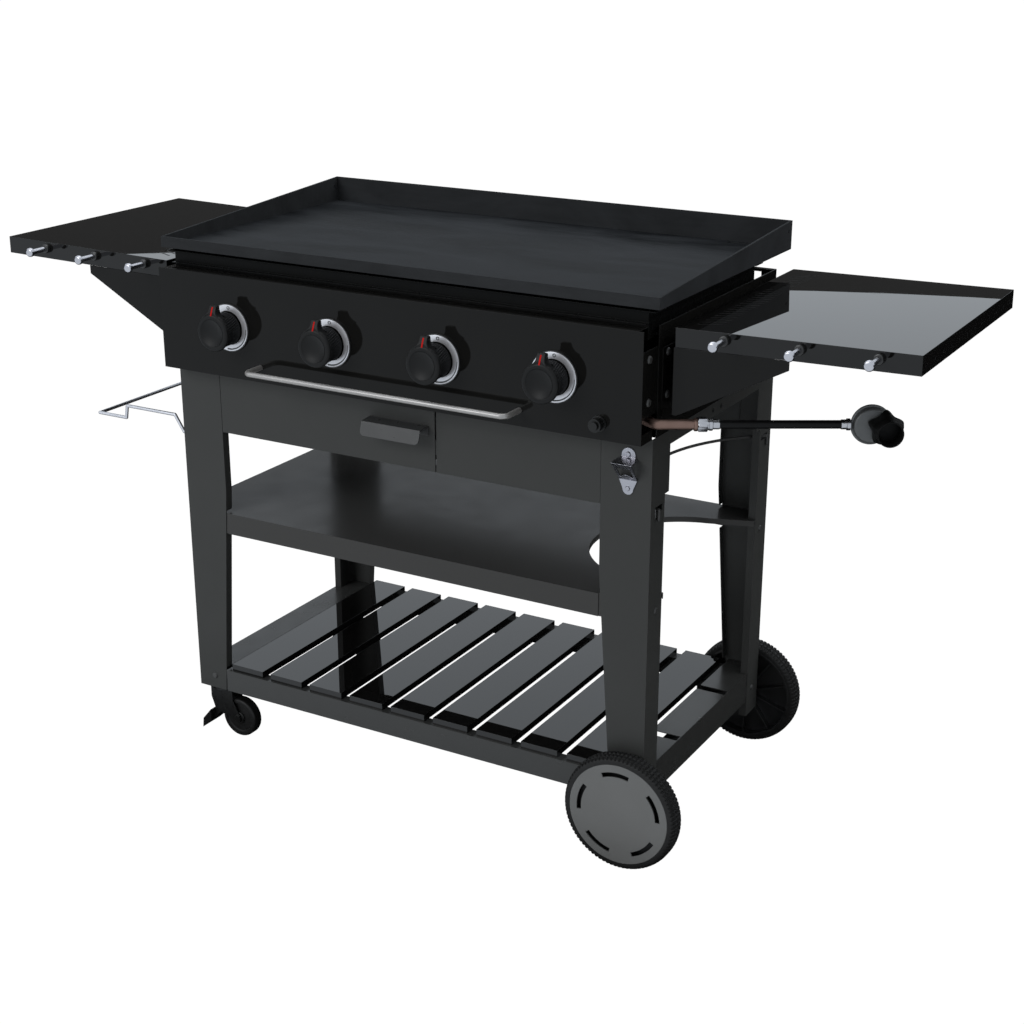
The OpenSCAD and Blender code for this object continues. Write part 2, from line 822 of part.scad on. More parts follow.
// Shelf with a front flange, side flanges and the bay for the gas bottle
module middle_shelf() placed() color("#3c3e3d") {
    z0 = mid_shelf_z - mid_flange_h;
    flange_x = cart_x - leg_w - set_gap;
    side_y0 = leg_flange_y + set_gap;
    side_y1 = 2 * mid_y - side_y0;
    difference() {
        union() {
            slab([-(cart_x - leg_lip_w - set_gap), front_y + 2 * sheet_t, mid_shelf_z - sheet_t],
                [cart_x - leg_lip_w - set_gap, back_y - 2 * sheet_t, mid_shelf_z]);
            slab([-cart_x, side_y0, mid_shelf_z - sheet_t], [cart_x, side_y1, mid_shelf_z]);
            slab([-cart_x, side_y0, mid_shelf_z - mid_flange_h / 2],
                [-leg_in_x, side_y1, mid_shelf_z]);
            for (m = [0, 1]) translate([0, m * 2 * mid_y, 0]) mirror([0, m, 0]) {
                slab([-flange_x, front_y, z0], [flange_x, front_y + sheet_t, mid_shelf_z]);
                slab([-flange_x, front_y, mid_shelf_z - sheet_t],
                    [flange_x, front_y + 3 * sheet_t, mid_shelf_z]);
                slab([-flange_x - mid_tab_w, front_y + sheet_t, z0],
                    [flange_x + mid_tab_w, front_y + 2 * sheet_t, mid_shelf_z]);
            }
        }
        translate([0, 0, z0 - over]) linear_extrude(height = mid_flange_h + 2 * over) bay_outline(0);
    }
    intersection() {
        translate([0, 0, mid_shelf_z - bottle_flange_h]) difference() {
            linear_extrude(height = bottle_flange_h) bay_outline(sheet_t);
            translate([0, 0, -over]) linear_extrude(height = bottle_flange_h + 2 * over) bay_outline(0);
        }
        slab([0, side_y0, 0], [cart_x, side_y1, mid_shelf_z]);
    }
}

// Front and rear rails of the lower frame, between the legs, each with a tab behind each leg
module end_low_rails() placed() color("#3c3e3d") {
    top_z = base_z + rail_h;
    taper_run = (leg_w - leg_foot_w) / (taper_z - base_z);
    x1 = cart_x - leg_foot_w - taper_run * rail_h - set_gap;
    for (m = [0, 1]) translate([0, m * 2 * mid_y, 0]) mirror([0, m, 0]) {
        slab([-x1, front_y, base_z], [x1, front_y + sheet_t, top_z]);
        slab([-x1, front_y, top_z - sheet_t], [x1, front_y + rail_flange_d, top_z]);
        slab([-x1, front_y, base_z], [x1, front_y + rail_foot_d, base_z + sheet_t]);
        slab([-x1 - tab_w, front_y + sheet_t, base_z + sheet_t],
            [x1 + tab_w, front_y + 2 * sheet_t, top_z]);
    }
}

// A side rail of the lower frame, set between the lips of the legs, its top flange run into both legs
module side_rail(h) {
    y0 = leg_flange_y;
    y1 = 2 * mid_y - y0;
    top_z = base_z + h;
    flange_x0 = leg_in_x - side_flange_w;
    flange_y0 = front_y + 2 * sheet_t + set_gap;
    slab([leg_in_x - sheet_t, y0, base_z], [leg_in_x, y1, top_z]);
    slab([flange_x0, y0, top_z - sheet_t], [leg_in_x, y1, top_z]);
    slab([flange_x0, flange_y0, top_z - sheet_t],
        [cart_x - leg_lip_w - set_gap, 2 * mid_y - flange_y0, top_z]);
    slab([leg_in_x - side_foot_w, y0, base_z], [leg_in_x, y1, base_z + sheet_t]);
    slab([leg_in_x - end_tab_w, y0, base_z], [leg_in_x, y0 + sheet_t, top_z]);
    slab([leg_in_x - end_tab_w, y1 - sheet_t, base_z], [leg_in_x, y1, top_z]);
}

// The left rail is level with the end rails, and the right one is taller, with two slots across its top
module side_low_rails() placed() color("#3c3e3d") {
    mirror([1, 0, 0]) side_rail(rail_h);
    difference() {
        side_rail(side_rail_h);
        for (s = [-1, 1]) slab([leg_in_x - side_flange_w - over,
            mid_y + s * cross_slot_dy - cross_slot_w / 2, base_z + side_rail_h - sheet_t - over],
            [leg_in_x - sheet_t, mid_y + s * cross_slot_dy + cross_slot_w / 2,
            base_z + side_rail_h + over]);
    }
}

// Slats are inverted channels that lie on the end rails
module slats() placed() color("#2a2c2c") {
    top_z = base_z + rail_h + slat_h;
    for (i = [0 : slat_count - 1]) translate([(i - (slat_count - 1) / 2) * slat_pitch, 0, 0])
        difference() {
            slab([-slat_w / 2, front_y + slat_inset, base_z + rail_h],
                [slat_w / 2, back_y - slat_inset, top_z]);
            slab([-slat_w / 2 + sheet_t, front_y + slat_inset + sheet_t, base_z + rail_h - over],
                [slat_w / 2 - sheet_t, back_y - slat_inset - sheet_t, top_z - sheet_t]);
        }
}

module wheel_axle() placed() color("#8a8c8e") {
    y0 = wheel_front_y + axle_end_gap;
    y1 = wheel_back_y - axle_end_gap;
    along_y(wheel_x, axle_z, y0, y1, axle_r);
    along_y(wheel_x, axle_z, y0 - axle_nut_t, y0, axle_nut_r);
    along_y(wheel_x, axle_z, y1, y1 + axle_nut_t, axle_nut_r);
}

// Rubber tyre with a block tread, drawn in front and turned for the back
module tyre() translate([wheel_x, wheel_front_y + wheel_w / 2, axle_z]) rotate([90, 0, 0])
    difference() {
        rotate_extrude($fn = 128) polygon([[tyre_base_r, -wheel_w / 2],
            [wheel_r - 2 * tread_h, -wheel_w / 2], [wheel_r, -wheel_w / 2 + tread_h],
            [wheel_r, wheel_w / 2 - tread_h], [wheel_r - 2 * tread_h, wheel_w / 2],
            [tyre_base_r, wheel_w / 2]]);
        for (i = [0 : tread_count - 1]) rotate([0, 0, (i + 0.5) * 360 / tread_count - 90])
            slab([wheel_r - tread_h / 2, -groove_w / 2, -wheel_w / 2 - over],
                [wheel_r + over, groove_w / 2, wheel_w / 2 + over]);
    }

// Plastic hub: rim, web, ribs, sleeve and a cap with five curved slots
module wheel_hub() translate([wheel_x, wheel_front_y, axle_z]) rotate([-90, 0, 0]) {
    bore_r = axle_r + run_gap;
    nut_room_r = axle_nut_r + nut_gap;
    difference() {
        rotate_extrude($fn = 128) polygon([[0, 0], [tyre_base_r - hub_edge, 0], [tyre_base_r, hub_edge],
            [tyre_base_r, wheel_w], [tyre_base_r - hub_rim_t, wheel_w],
            [tyre_base_r - hub_rim_t, hub_web_y + hub_web_t], [hub_sleeve_r, hub_web_y + hub_web_t],
            [hub_sleeve_r, wheel_w], [0, wheel_w]]);
        rotate_extrude($fn = 128) translate([hub_sleeve_r, hub_cap_t])
            square([tyre_base_r - hub_rim_t - hub_sleeve_r, hub_web_y - hub_cap_t]);
        translate([0, 0, hub_cap_t]) cylinder(h = wheel_w, r = bore_r);
        translate([0, 0, hub_cap_t])
            cylinder(h = axle_end_gap - hub_cap_t + slide_gap, r = nut_room_r);
        for (i = [0 : hub_slot_count - 1])
            rotate([0, 0, -hub_slot_start - hub_slot_span / 2 + i * 360 / hub_slot_count])
            translate([0, 0, -over]) rotate_extrude(angle = hub_slot_span, $fn = 128)
            translate([hub_slot_r, 0]) square([hub_slot_w, hub_cap_t + 2 * over]);
    }
    for (i = [0 : hub_rib_count - 1]) rotate([0, 0, (i + 0.5) * 360 / hub_rib_count])
        slab([hub_sleeve_r - over, -hub_web_t / 2, hub_web_y + hub_web_t / 2],
            [tyre_base_r - hub_rim_t / 2, hub_web_t / 2, wheel_w - hub_rim_t]);
}

module front_tyre() placed() color("#1a1b1b") tyre();
module rear_tyre() placed() color("#1a1b1b") turned(mid_y) tyre();
module front_wheel_hub() placed() color("#6b6f70") wheel_hub();
module rear_wheel_hub() placed() color("#6b6f70") turned(mid_y) wheel_hub();

// Mounting plate, raceway and kingpin of a caster, drawn at the right and mirrored to the left
module caster_plate() translate([caster_x, caster_y, 0]) {
    slab([-caster_plate_w / 2, -caster_plate_w / 2, caster_plate_z],
        [caster_plate_out, caster_plate_w / 2, base_z]);
    translate([0, 0, fork_top_z]) cylinder(h = race_h, r = race_r);
    translate([0, 0, fork_top_z - fork_top_t - slide_gap])
        cylinder(h = fork_top_t + slide_gap, r = kingpin_r);
    translate([0, 0, fork_top_z - fork_top_t - slide_gap - kingpin_head_t])
        cylinder(h = kingpin_head_t, r = kingpin_head_r);
}

// Fork: a disc round the kingpin, two cheeks and the axle pin
module caster_fork() translate([caster_x, caster_y, 0]) {
    inner_y = caster_w / 2 + fork_side_gap;
    outer_y = inner_y + fork_cheek_t;
    top_z = fork_top_z - slide_gap;
    difference() {
        union() {
            translate([0, 0, top_z - fork_top_t]) cylinder(h = fork_top_t, r = race_r);
            for (m = [0, 1]) mirror([0, m, 0]) {
                upright(-outer_y, -inner_y) polygon([[race_r, top_z], [-race_r, top_z],
                    [-race_r, top_z - race_r], [-caster_trail - caster_axle_head_r, caster_axle_z],
                    [-caster_trail, caster_axle_z - caster_axle_head_r],
                    [-caster_trail + caster_axle_head_r, caster_axle_z - fork_cheek_t],
                    [pedal_pin_dx - caster_trail + pedal_eye_r, caster_axle_z + pedal_pin_dz],
                    [race_r, top_z - race_r]]);
                along_y(-caster_trail, caster_axle_z, -outer_y - fork_cheek_t, -outer_y,
                    caster_axle_head_r);
                slab([-race_r / 2, -outer_y, top_z - fork_top_t], [race_r / 2, 0, top_z]);
            }
            along_y(-caster_trail, caster_axle_z, -outer_y, outer_y, caster_axle_r);
            along_y(pedal_pin_dx - caster_trail, caster_axle_z + pedal_pin_dz, -outer_y, outer_y,
                pedal_pin_r);
        }
        translate([0, 0, top_z - fork_top_t - over])
            cylinder(h = fork_top_t + 2 * over, r = kingpin_r + run_gap);
    }
}

module caster_wheel() translate([caster_axle_x, caster_y, caster_axle_z]) rotate([90, 0, 0])
    difference() {
        rotate_extrude($fn = 96) polygon([[0, -caster_w / 2], [caster_hub_r, -caster_w / 2],
            [caster_hub_r, -caster_w / 2 + caster_rim_inset],
            [caster_rim_r, -caster_w / 2 + caster_rim_inset],
            [caster_rim_r, caster_edge - caster_w / 2],
            [caster_r - 2 * caster_edge, caster_edge - caster_w / 2],
            [caster_r, 3 * caster_edge - caster_w / 2], [caster_r, caster_w / 2 - 3 * caster_edge],
            [caster_r - 2 * caster_edge, caster_w / 2 - caster_edge],
            [caster_rim_r, caster_w / 2 - caster_edge],
            [caster_rim_r, caster_w / 2 - caster_rim_inset],
            [caster_hub_r, caster_w / 2 - caster_rim_inset], [caster_hub_r, caster_w / 2],
            [0, caster_w / 2]]);
        translate([0, 0, -caster_w / 2 - over])
            cylinder(h = caster_w + 2 * over, r = caster_axle_r + run_gap);
    }

// Pedal that turns on the fork's small pin: an eye between the cheeks and a wide tail beyond them
module brake_pedal() translate([caster_axle_x + pedal_pin_dx, caster_y, caster_axle_z + pedal_pin_dz])
    difference() {
        union() {
            upright(-pedal_w / 2, pedal_w / 2) circle(r = pedal_eye_r);
            intersection() {
                upright(-pedal_tail_w / 2, pedal_tail_w / 2) polygon([[0, pedal_eye_r],
                    [pedal_neck_l, pedal_eye_r - pedal_t], [pedal_l - pedal_t, -pedal_drop / 2],
                    [pedal_l, -pedal_drop], [pedal_neck_l, -pedal_drop / 2],
                    [0, -pedal_eye_r]]);
                union() {
                    slab([0, -pedal_w / 2, -pedal_drop], [pedal_l, pedal_w / 2, pedal_eye_r]);
                    slab([pedal_neck_l, -pedal_tail_w / 2, -pedal_drop],
                        [pedal_l, pedal_tail_w / 2, pedal_eye_r]);
                }
            }
        }
        along_y(0, 0, -pedal_w, pedal_w, pedal_pin_r + run_gap);
    }

module caster_plates() placed() color("#1d1e1e") mirror([1, 0, 0]) {
    caster_plate();
    turned(mid_y) caster_plate();
}
module front_caster_fork() placed() color("#1d1e1e") mirror([1, 0, 0]) caster_fork();
module rear_caster_fork() placed() color("#1d1e1e") mirror([1, 0, 0]) turned(mid_y) caster_fork();
module front_caster_wheel() placed() color("#262727") mirror([1, 0, 0]) caster_wheel();
module rear_caster_wheel() placed() color("#262727") mirror([1, 0, 0]) turned(mid_y) caster_wheel();
module front_brake_pedal() placed() color("#1d1e1e") mirror([1, 0, 0]) brake_pedal();
module rear_brake_pedal() placed() color("#1d1e1e") mirror([1, 0, 0]) turned(mid_y) brake_pedal();

// Front panel with a top flange to the firebox, a foot flange and an end return at each side
module control_panel() placed() color("#242423") {
    difference() {
        union() {
            slab([-panel_x, 0, leg_top_z], [panel_x, panel_t, panel_top_z]);
            slab([-box_x, 0, panel_top_z - panel_t], [box_x, box_front_y, panel_top_z]);
            slab([-leg_in_x + leg_lip_w, 0, leg_top_z],
                [leg_in_x - leg_lip_w, panel_foot_d, leg_top_z + panel_t]);
            both_sides() {
                slab([panel_x - panel_t, 0, panel_return_z],
                    [panel_x, panel_return_d, panel_return_z + panel_return_h]);
                slab([panel_x - panel_t, 0, leg_top_z],
                    [panel_x, front_y - set_gap, leg_top_z + panel_low_return_h]);
            }
        }
        for (i = [0 : knob_count - 1])
            along_y((i - knob_offset) * knob_pitch, knob_z, -over, panel_t + over, stem_hole_r);
        along_y(igniter_x, igniter_z, -over, panel_t + over, igniter_barrel_r + run_gap);
        both_sides() along_y(bar_x, bar_z, -over, panel_t + over, bar_r + run_gap);
    }
}

// Side walls with a foot flange on the legs and a lapped tab inside the panel's return
module body_side_panels() placed() color("#1b1b1b") both_sides() {
    lap_x = panel_x - panel_t;
    slab([leg_in_x, body_front_y, leg_top_z], [cart_x, body_d, body_top_z]);
    slab([leg_in_x - body_foot_w, body_front_y, leg_top_z], [cart_x, body_d, leg_top_z + sheet_t]);
    slab([lap_x - sheet_t, lap_tab_y, panel_return_z],
        [lap_x, body_front_y, panel_return_z + panel_return_h]);
    slab([lap_x - sheet_t, body_front_y, panel_return_z],
        [cart_x, body_front_y + joggle_d, panel_return_z + panel_return_h]);
}

// Rear wall with an open vent under its top rail, small low vents, rests for the plate and the
// two rails that carry the grease cup
module rear_body_panel() placed() color("#1b1b1b") {
    y0 = body_d - sheet_t;
    vent_z1 = body_top_z - vent_rail_h;
    difference() {
        union() {
            slab([-leg_in_x, y0, leg_top_z + sheet_t], [leg_in_x, body_d, body_top_z]);
            slab([-leg_in_x, y0 - rear_lip_d, body_top_z - sheet_t], [leg_in_x, body_d, body_top_z]);
            for (s = [-1, 1]) slab([s * rest_tab_x - rest_tab_w / 2, y0, body_top_z - over],
                [s * rest_tab_x + rest_tab_w / 2, body_d, plate_z]);
        }
        slab([vent_end_w - leg_in_x, y0 - over, vent_z1 - vent_open_h],
            [leg_in_x - vent_end_w, body_d + over, vent_z1]);
        for (i = [0 : low_vent_count - 1]) translate([low_vent_x + i * low_vent_pitch, 0, leg_top_z])
            slab([0, y0 - over, low_vent_z], [low_vent_w, body_d + over, low_vent_z + low_vent_h]);
    }
    rail_x = cup_w / 2 + slide_gap;
    rail_z = cup_top_z - sheet_t - slide_gap;
    for (s = [-1, 1]) translate([drain_x, 0, 0]) mirror([s < 0 ? 1 : 0, 0, 0]) {
        slab([rail_x, body_d, rail_z - sheet_t],
            [rail_x + cup_rail_w, cup_y + cup_d, rail_z]);
        slab([rail_x + cup_rail_w, body_d, rail_z - cup_rail_h],
            [rail_x + cup_rail_w + sheet_t, cup_y + cup_d, rail_z]);
    }
}

// Tub with a raised collar, rest ears for the plate and hangers to the side walls
module firebox() placed() color("#161616") {
    t = panel_t;
    x = box_x;
    slab([-x, box_front_y, box_ledge_z], [x, box_front_y + t, box_top_z]);
    slab([-x, box_front_y, box_ledge_z], [x, box_low_y, box_ledge_z + t]);
    slab([-x, box_front_y - box_lip_d, box_top_z - t], [x, box_front_y + t, box_top_z]);
    slab([-x, box_front_y - box_mid_lip_d, box_mid_lip_z],
        [x, box_front_y + t, box_mid_lip_z + t]);
    difference() {
        slab([-x, box_low_y - t, box_floor_z], [x, box_low_y, box_ledge_z + t]);
        for (i = [0 : knob_count - 1]) along_y((i - knob_offset) * knob_pitch, knob_z,
            box_low_y - t - over, box_low_y + over, burner_r + set_gap);
    }
    slab([-x, box_low_y - t, box_floor_z], [x, box_back_y, box_floor_z + t]);
    slab([-x, box_back_y - t, box_floor_z], [x, box_back_y, box_ledge_z]);
    both_sides() {
        slab([x - t, box_front_y, box_ledge_z], [x, box_back_y, box_top_z]);
        slab([x - t, box_low_y - t, box_floor_z], [x, box_back_y, box_ledge_z]);
        slab([x, box_front_y - box_lip_d, box_top_z - t],
            [x + box_ear_w, box_front_y + box_ear_d, box_top_z]);
        slab([x, box_back_y - box_ear_d, box_top_z - t], [x + box_ear_w, box_back_y, box_top_z]);
        slab([x, body_front_y + joggle_d, box_hanger_z], [leg_in_x, box_back_y, box_hanger_z + t]);
    }
}

// Cooking plate: floor, low front wall, sloped side walls, high back wall, drain and chute
module griddle_plate() placed() color("#2d3032") {
    x = plate_w / 2;
    y1 = plate_y + plate_d;
    t = plate_t;
    drain_y = y1 - t - drain_back - drain_l;
    difference() {
        union() {
            slab([-x, plate_y, plate_z], [x, y1, plate_z + t]);
            slab([-x, plate_y, plate_z], [x, plate_y + t, plate_z + front_wall_h]);
            slab([-x, y1 - t, plate_z], [x, y1, plate_z + back_wall_h]);
            both_sides() translate([x - t, 0, 0]) rotate([90, 0, 90]) linear_extrude(height = t)
                polygon([[plate_y, plate_z], [y1, plate_z], [y1, plate_z + back_wall_h],
                    [plate_y, plate_z + front_wall_h]]);
        }
        slab([drain_x - drain_w / 2, drain_y, plate_z - over],
            [drain_x + drain_w / 2, drain_y + drain_l, plate_z + t + over]);
        both_sides() translate([x - t - over, y1 - plate_hole_dy, plate_hole_z]) rotate([0, 90, 0])
            cylinder(h = t + 2 * over, r = plate_hole_r);
    }
    difference() {
        slab([drain_x - drain_w / 2 - chute_t, drain_y - chute_t, plate_z - chute_h],
            [drain_x + drain_w / 2 + chute_t, drain_y + drain_l + chute_t, plate_z]);
        slab([drain_x - drain_w / 2, drain_y, plate_z - chute_h - over],
            [drain_x + drain_w / 2, drain_y + drain_l, plate_z + over]);
    }
    both_sides() for (y = [box_front_y + box_ear_d / 2, box_back_y - box_ear_d / 2])
        translate([plate_pad_x, y, box_top_z])
        cylinder(h = plate_z - box_top_z, r = plate_pad_r);
}

// Cup with a rim on each side that hangs on the rails of the rear wall
module grease_cup() placed() color("#b9bcbf") {
    t = panel_t;
    x0 = drain_x - cup_w / 2;
    x1 = drain_x + cup_w / 2;
    z0 = cup_top_z - cup_h;
    difference() {
        slab([x0, cup_y, z0], [x1, cup_y + cup_d, cup_top_z]);
        slab([x0 + t, cup_y + t, z0 + t], [x1 - t, cup_y + cup_d - t, cup_top_z + over]);
    }
    slab([x0 - cup_rim_w, cup_y, cup_top_z - t], [x0 + t, cup_y + cup_d, cup_top_z]);
    slab([x1 - t, cup_y, cup_top_z - t], [x1 + cup_rim_w, cup_y + cup_d, cup_top_z]);
}

// Four straight tube burners, each open at the front and with ports along both sides
module burners() placed() color("#8f9295") for (i = [0 : knob_count - 1])
    translate([(i - knob_offset) * knob_pitch, 0, knob_z]) difference() {
        along_y(0, 0, burner_y0, burner_y1, burner_r);
        along_y(0, 0, burner_y0 - over, burner_y1 - burner_wall, burner_r - burner_wall);
        for (k = [0 : port_count - 1]) slab([-burner_r - over, port_start + k * port_pitch, 0],
            [burner_r + over, port_start + k * port_pitch + port_w, port_h]);
    }

// Pipe along the back of the panel, and the elbow block that the supply pipe screws into
module gas_manifold() placed() color("#9a9c9e") {
    x0 = -knob_offset * knob_pitch - manifold_end;
    rod([x0, manifold_y, manifold_z], [elbow_x0, manifold_y, manifold_z], manifold_r);
    difference() {
        slab([elbow_x0, elbow_y0, manifold_z + manifold_r - elbow_drop],
            [elbow_x0 + elbow_w, elbow_y0 + elbow_d, manifold_z + manifold_r]);
        rod(pipe_start, bend, pipe_r + run_gap);
    }
}

module gas_valves() placed() color("#b08d4a") for (i = [0 : knob_count - 1])
    translate([(i - knob_offset) * knob_pitch, 0, 0]) difference() {
        union() {
            slab([-valve_w / 2, valve_y0, manifold_z + manifold_r],
                [valve_w / 2, valve_y1, knob_z + valve_top]);
            along_y(0, knob_z, valve_y0 - valve_boss_l, valve_y0, valve_boss_r);
            along_y(0, knob_z, valve_y1, valve_y1 + spud_l, spud_r);
        }
        along_y(0, knob_z, valve_y0 - valve_boss_l - over, stem_back_y + 2 * knob_push,
            stem_r + run_gap);
    }

module valve_stem(i) placed() color("#a7a9ab")
    along_y((i - 1 - knob_offset) * knob_pitch, knob_z, stem_tip_y, stem_back_y, stem_r);

// Knob: tapered grip with ribs, a flange with a dished face and a pointer lug on top
module knob(i) placed() color("#222424") {
    edge_y = knob_reach - knob_flange_t;
    translate([(i - 1 - knob_offset) * knob_pitch, 0, knob_z]) difference() {
        union() {
            rotate([90, 0, 0]) rotate_extrude($fn = 96) polygon(concat([[0, knob_back],
                [knob_back_r, knob_back], [knob_waist_r, edge_y - knob_edge], [knob_r, edge_y],
                [knob_r, knob_reach - knob_edge], [knob_r - knob_edge, knob_reach],
                [dish_r, knob_reach]],
                [for (k = [1 : dish_steps]) let (a = k * 90 / dish_steps)
                    [dish_r * cos(a), knob_reach - dish_depth * sin(a)]]));
            intersection() {
                upright(-knob_reach, -knob_reach + lug_t) polygon([[-lug_root_w / 2, lug_root_h],
                    [lug_root_w / 2, lug_root_h], [lug_neck_w / 2, lug_neck_h],
                    [lug_tip_w / 2 + lug_chamfer / 2, lug_h - lug_chamfer], [lug_tip_w / 2, lug_h],
                    [-lug_tip_w / 2, lug_h], [-lug_tip_w / 2 - lug_chamfer / 2, lug_h - lug_chamfer],
                    [-lug_neck_w / 2, lug_neck_h]]);
                rotate([90, 0, 90]) translate([0, 0, -lug_root_w / 2])
                    linear_extrude(height = lug_root_w) polygon([[-knob_reach, lug_root_h],
                        [-knob_reach, knob_r], [lug_slope - knob_reach, lug_h],
                        [lug_t - knob_reach, lug_h], [lug_t - knob_reach, lug_root_h]]);
            }
        }
        along_y(0, 0, stem_tip_y - knob_bore_depth, 0, stem_r + run_gap);
        for (k = [0 : rib_count - 1]) rotate([0, (k + 0.5) * 360 / rib_count, 0])
            slab([knob_back_r - rib_gap_d, -edge_y + 2 * knob_edge, -rib_gap_w / 2],
                [knob_r, -knob_back + over, rib_gap_w / 2]);
    }
}

module knob_bezels() placed() color("#c9cccf") for (i = [0 : knob_count - 1])
    translate([(i - knob_offset) * knob_pitch, 0, knob_z]) rotate([90, 0, 0])
    rotate_extrude($fn = 96) polygon([[bezel_in_r, 0], [bezel_r, 0], [bezel_r, bezel_t - bezel_edge],
        [bezel_r - bezel_edge, bezel_t], [bezel_in_r + bezel_edge, bezel_t],
        [bezel_in_r, bezel_t - bezel_edge]]);

module igniter_housing() placed() color("#1b1c1c") difference() {
    union() {
        along_y(igniter_x, igniter_z, -igniter_flange_t, 0, igniter_flange_r);
        along_y(igniter_x, igniter_z, -igniter_reach, -igniter_flange_t, igniter_collar_r);
        along_y(igniter_x, igniter_z, 0, igniter_barrel_l, igniter_barrel_r);
    }
    along_y(igniter_x, igniter_z, -igniter_reach - over, igniter_depth, button_r + run_gap);
}

module igniter_button() placed() color("#1b1c1c") along_y(igniter_x, igniter_z,
    -igniter_reach - button_travel, -igniter_reach - button_travel + button_l, button_r);

// Bent rod with a collar at each end against the panel
module towel_bar() placed() color("#c4c6c8") {
    straight_x = bar_x - bar_bend_r;
    rod([-straight_x, -bar_reach, bar_z], [straight_x, -bar_reach, bar_z], bar_r);
    both_sides() {
        translate([straight_x, -bar_reach + bar_bend_r, bar_z]) rotate([0, 0, -90])
            rotate_extrude(angle = 90) translate([bar_bend_r, 0]) circle(r = bar_r);
        along_y(bar_x, bar_z, -bar_reach + bar_bend_r, bar_tail, bar_r);
        along_y(bar_x, bar_z, -bar_collar_t, 0, bar_collar_r);
    }
}

// A point on the straight run of the gas line, s from the bend and aside from it
function run_point(s, aside = 0) = bend + s * [cos(run_angle), sin(run_angle), 0]
    + aside * [sin(run_angle), -cos(run_angle), 0];

// Copper pipe from the manifold's elbow, through the bend and along the run
module supply_pipe() placed() color("#b5694a") {
    wire([pipe_start, bend, run_point(copper_l)], pipe_r, pipe_bend_r);
}

// Hexagon nut and ferrule at the pipe, and the nut at the regulator
module hose_fittings() placed() color("#c4c6c8") {
    translate(run_point(copper_l)) rotate([0, 90, run_angle]) {
        cylinder(h = hex_flat_l, r = hex_r, $fn = nut_hex_sides);
        translate([0, 0, hex_flat_l]) cylinder(h = hex_l - hex_flat_l, r = hex_sleeve_r);
        translate([0, 0, hex_l]) cylinder(h = ferrule_l, r = nut_neck_r);
    }
    translate(run_point(hose_end)) rotate([0, 90, run_angle]) {
        cylinder(h = nut_neck_l, r = nut_neck_r);
        translate([0, 0, nut_neck_l])
            cylinder(h = regulator_s - regulator_r - hose_end - nut_neck_l, r = nut_r);
    }
}

// The direction of a route at one of its points
function route_dir(p, i) = let (d = p[min(i + 1, len(p) - 1)] - p[max(i - 1, 0)]) d / norm(d);
// One ring of points square to the route
function ring(c, d, r, n) = let (u = cross([0, 0, 1], d) / norm(cross([0, 0, 1], d)), v = cross(d, u))
    [for (k = [0 : n - 1]) c + r * (cos(k * 360 / n) * u + sin(k * 360 / n) * v)];

// The hose is one tube swept along its route
module gas_hose() placed() color("#141414") {
    n = hose_sides;
    m = len(hose_points);
    polyhedron(
        points = [for (i = [0 : m - 1])
            each ring(hose_points[i], route_dir(hose_points, i), hose_r, n)],
        faces = concat([[for (k = [0 : n - 1]) k]],
            [for (i = [0 : m - 2], k = [0 : n - 1])
                [i * n + k, (i + 1) * n + k, (i + 1) * n + (k + 1) % n, i * n + (k + 1) % n]],
            [[for (k = [n - 1 : -1 : 0]) (m - 1) * n + k]]));
}

// Round regulator with a spigot that carries the handwheel
module regulator_body() placed() color("#55595b") {
    translate(run_point(regulator_s)) rotate([90, 0, run_angle]) {
        half = regulator_t / 2;
        rotate_extrude($fn = 96) polygon([[0, -half], [regulator_r - regulator_edge, -half],
            [regulator_r, -half + regulator_edge], [regulator_r, half - regulator_edge],
            [regulator_r - regulator_edge, half], [0, half]]);
        translate([wheel_offset, 0, half]) cylinder(h = spigot_l, r = spigot_r);
    }
}

// Lobed grip that screws the connector to the bottle valve, with its open mouth
module regulator_handwheel() placed() color("#161717")
    translate(run_point(regulator_s + wheel_offset)) rotate([90, 0, run_angle]) difference() {
        base = regulator_t / 2 + slide_gap;
        grip_end = handwheel_end - handwheel_neck_l;
        union() {
            translate([0, 0, base]) linear_extrude(height = grip_end - base) {
                circle(r = handwheel_r);
                for (i = [0 : handwheel_lobes - 1]) rotate((i + 0.5) * 360 / handwheel_lobes)
                    translate([handwheel_lobe_at, 0]) circle(r = handwheel_lobe_r);
            }
            translate([0, 0, grip_end]) cylinder(h = handwheel_neck_l, r = mouth_wall_r);
        }
        translate([0, 0, base - over])
            cylinder(h = spigot_l + over + run_gap, r = spigot_r + run_gap);
        translate([0, 0, handwheel_end - mouth_depth])
            cylinder(h = mouth_depth + over, r = mouth_r);
    }

// A tray with a skirt, rows of slanted vents beside the body and small holes in its outer skirt
module shelf() translate([shelf_x, shelf_y, shelf_z]) rotate([0, -shelf_tilt, 0]) {
    vent_pitch = (shelf_d - 2 * vent_end) / (vent_count - 1);
    hole_pitch = (shelf_d - 2 * skirt_hole_end) / (skirt_hole_count - 1);
    difference() {
        slab([0, 0, -shelf_h], [shelf_w, shelf_d, 0]);
        slab([shelf_t, shelf_t, -shelf_h - over], [shelf_w - shelf_t, shelf_d - shelf_t, -shelf_t]);
        for (i = [0 : vent_count - 1]) translate([vent_inset, vent_end + i * vent_pitch, 0])
            rotate([0, 0, vent_angle])
            slab([-vent_l / 2, -vent_w / 2, -shelf_t - over], [vent_l / 2, vent_w / 2, over]);
        for (i = [0 : skirt_hole_count - 1])
            translate([shelf_w - shelf_t - over, skirt_hole_end + i * hole_pitch, -skirt_hole_drop])
            rotate([0, 90, 0]) cylinder(h = shelf_t + 2 * over, r = skirt_hole_r);
    }
}

module right_shelf() placed() color("#242423") shelf();
module left_shelf() placed() color("#242423") mirror([1, 0, 0]) shelf();

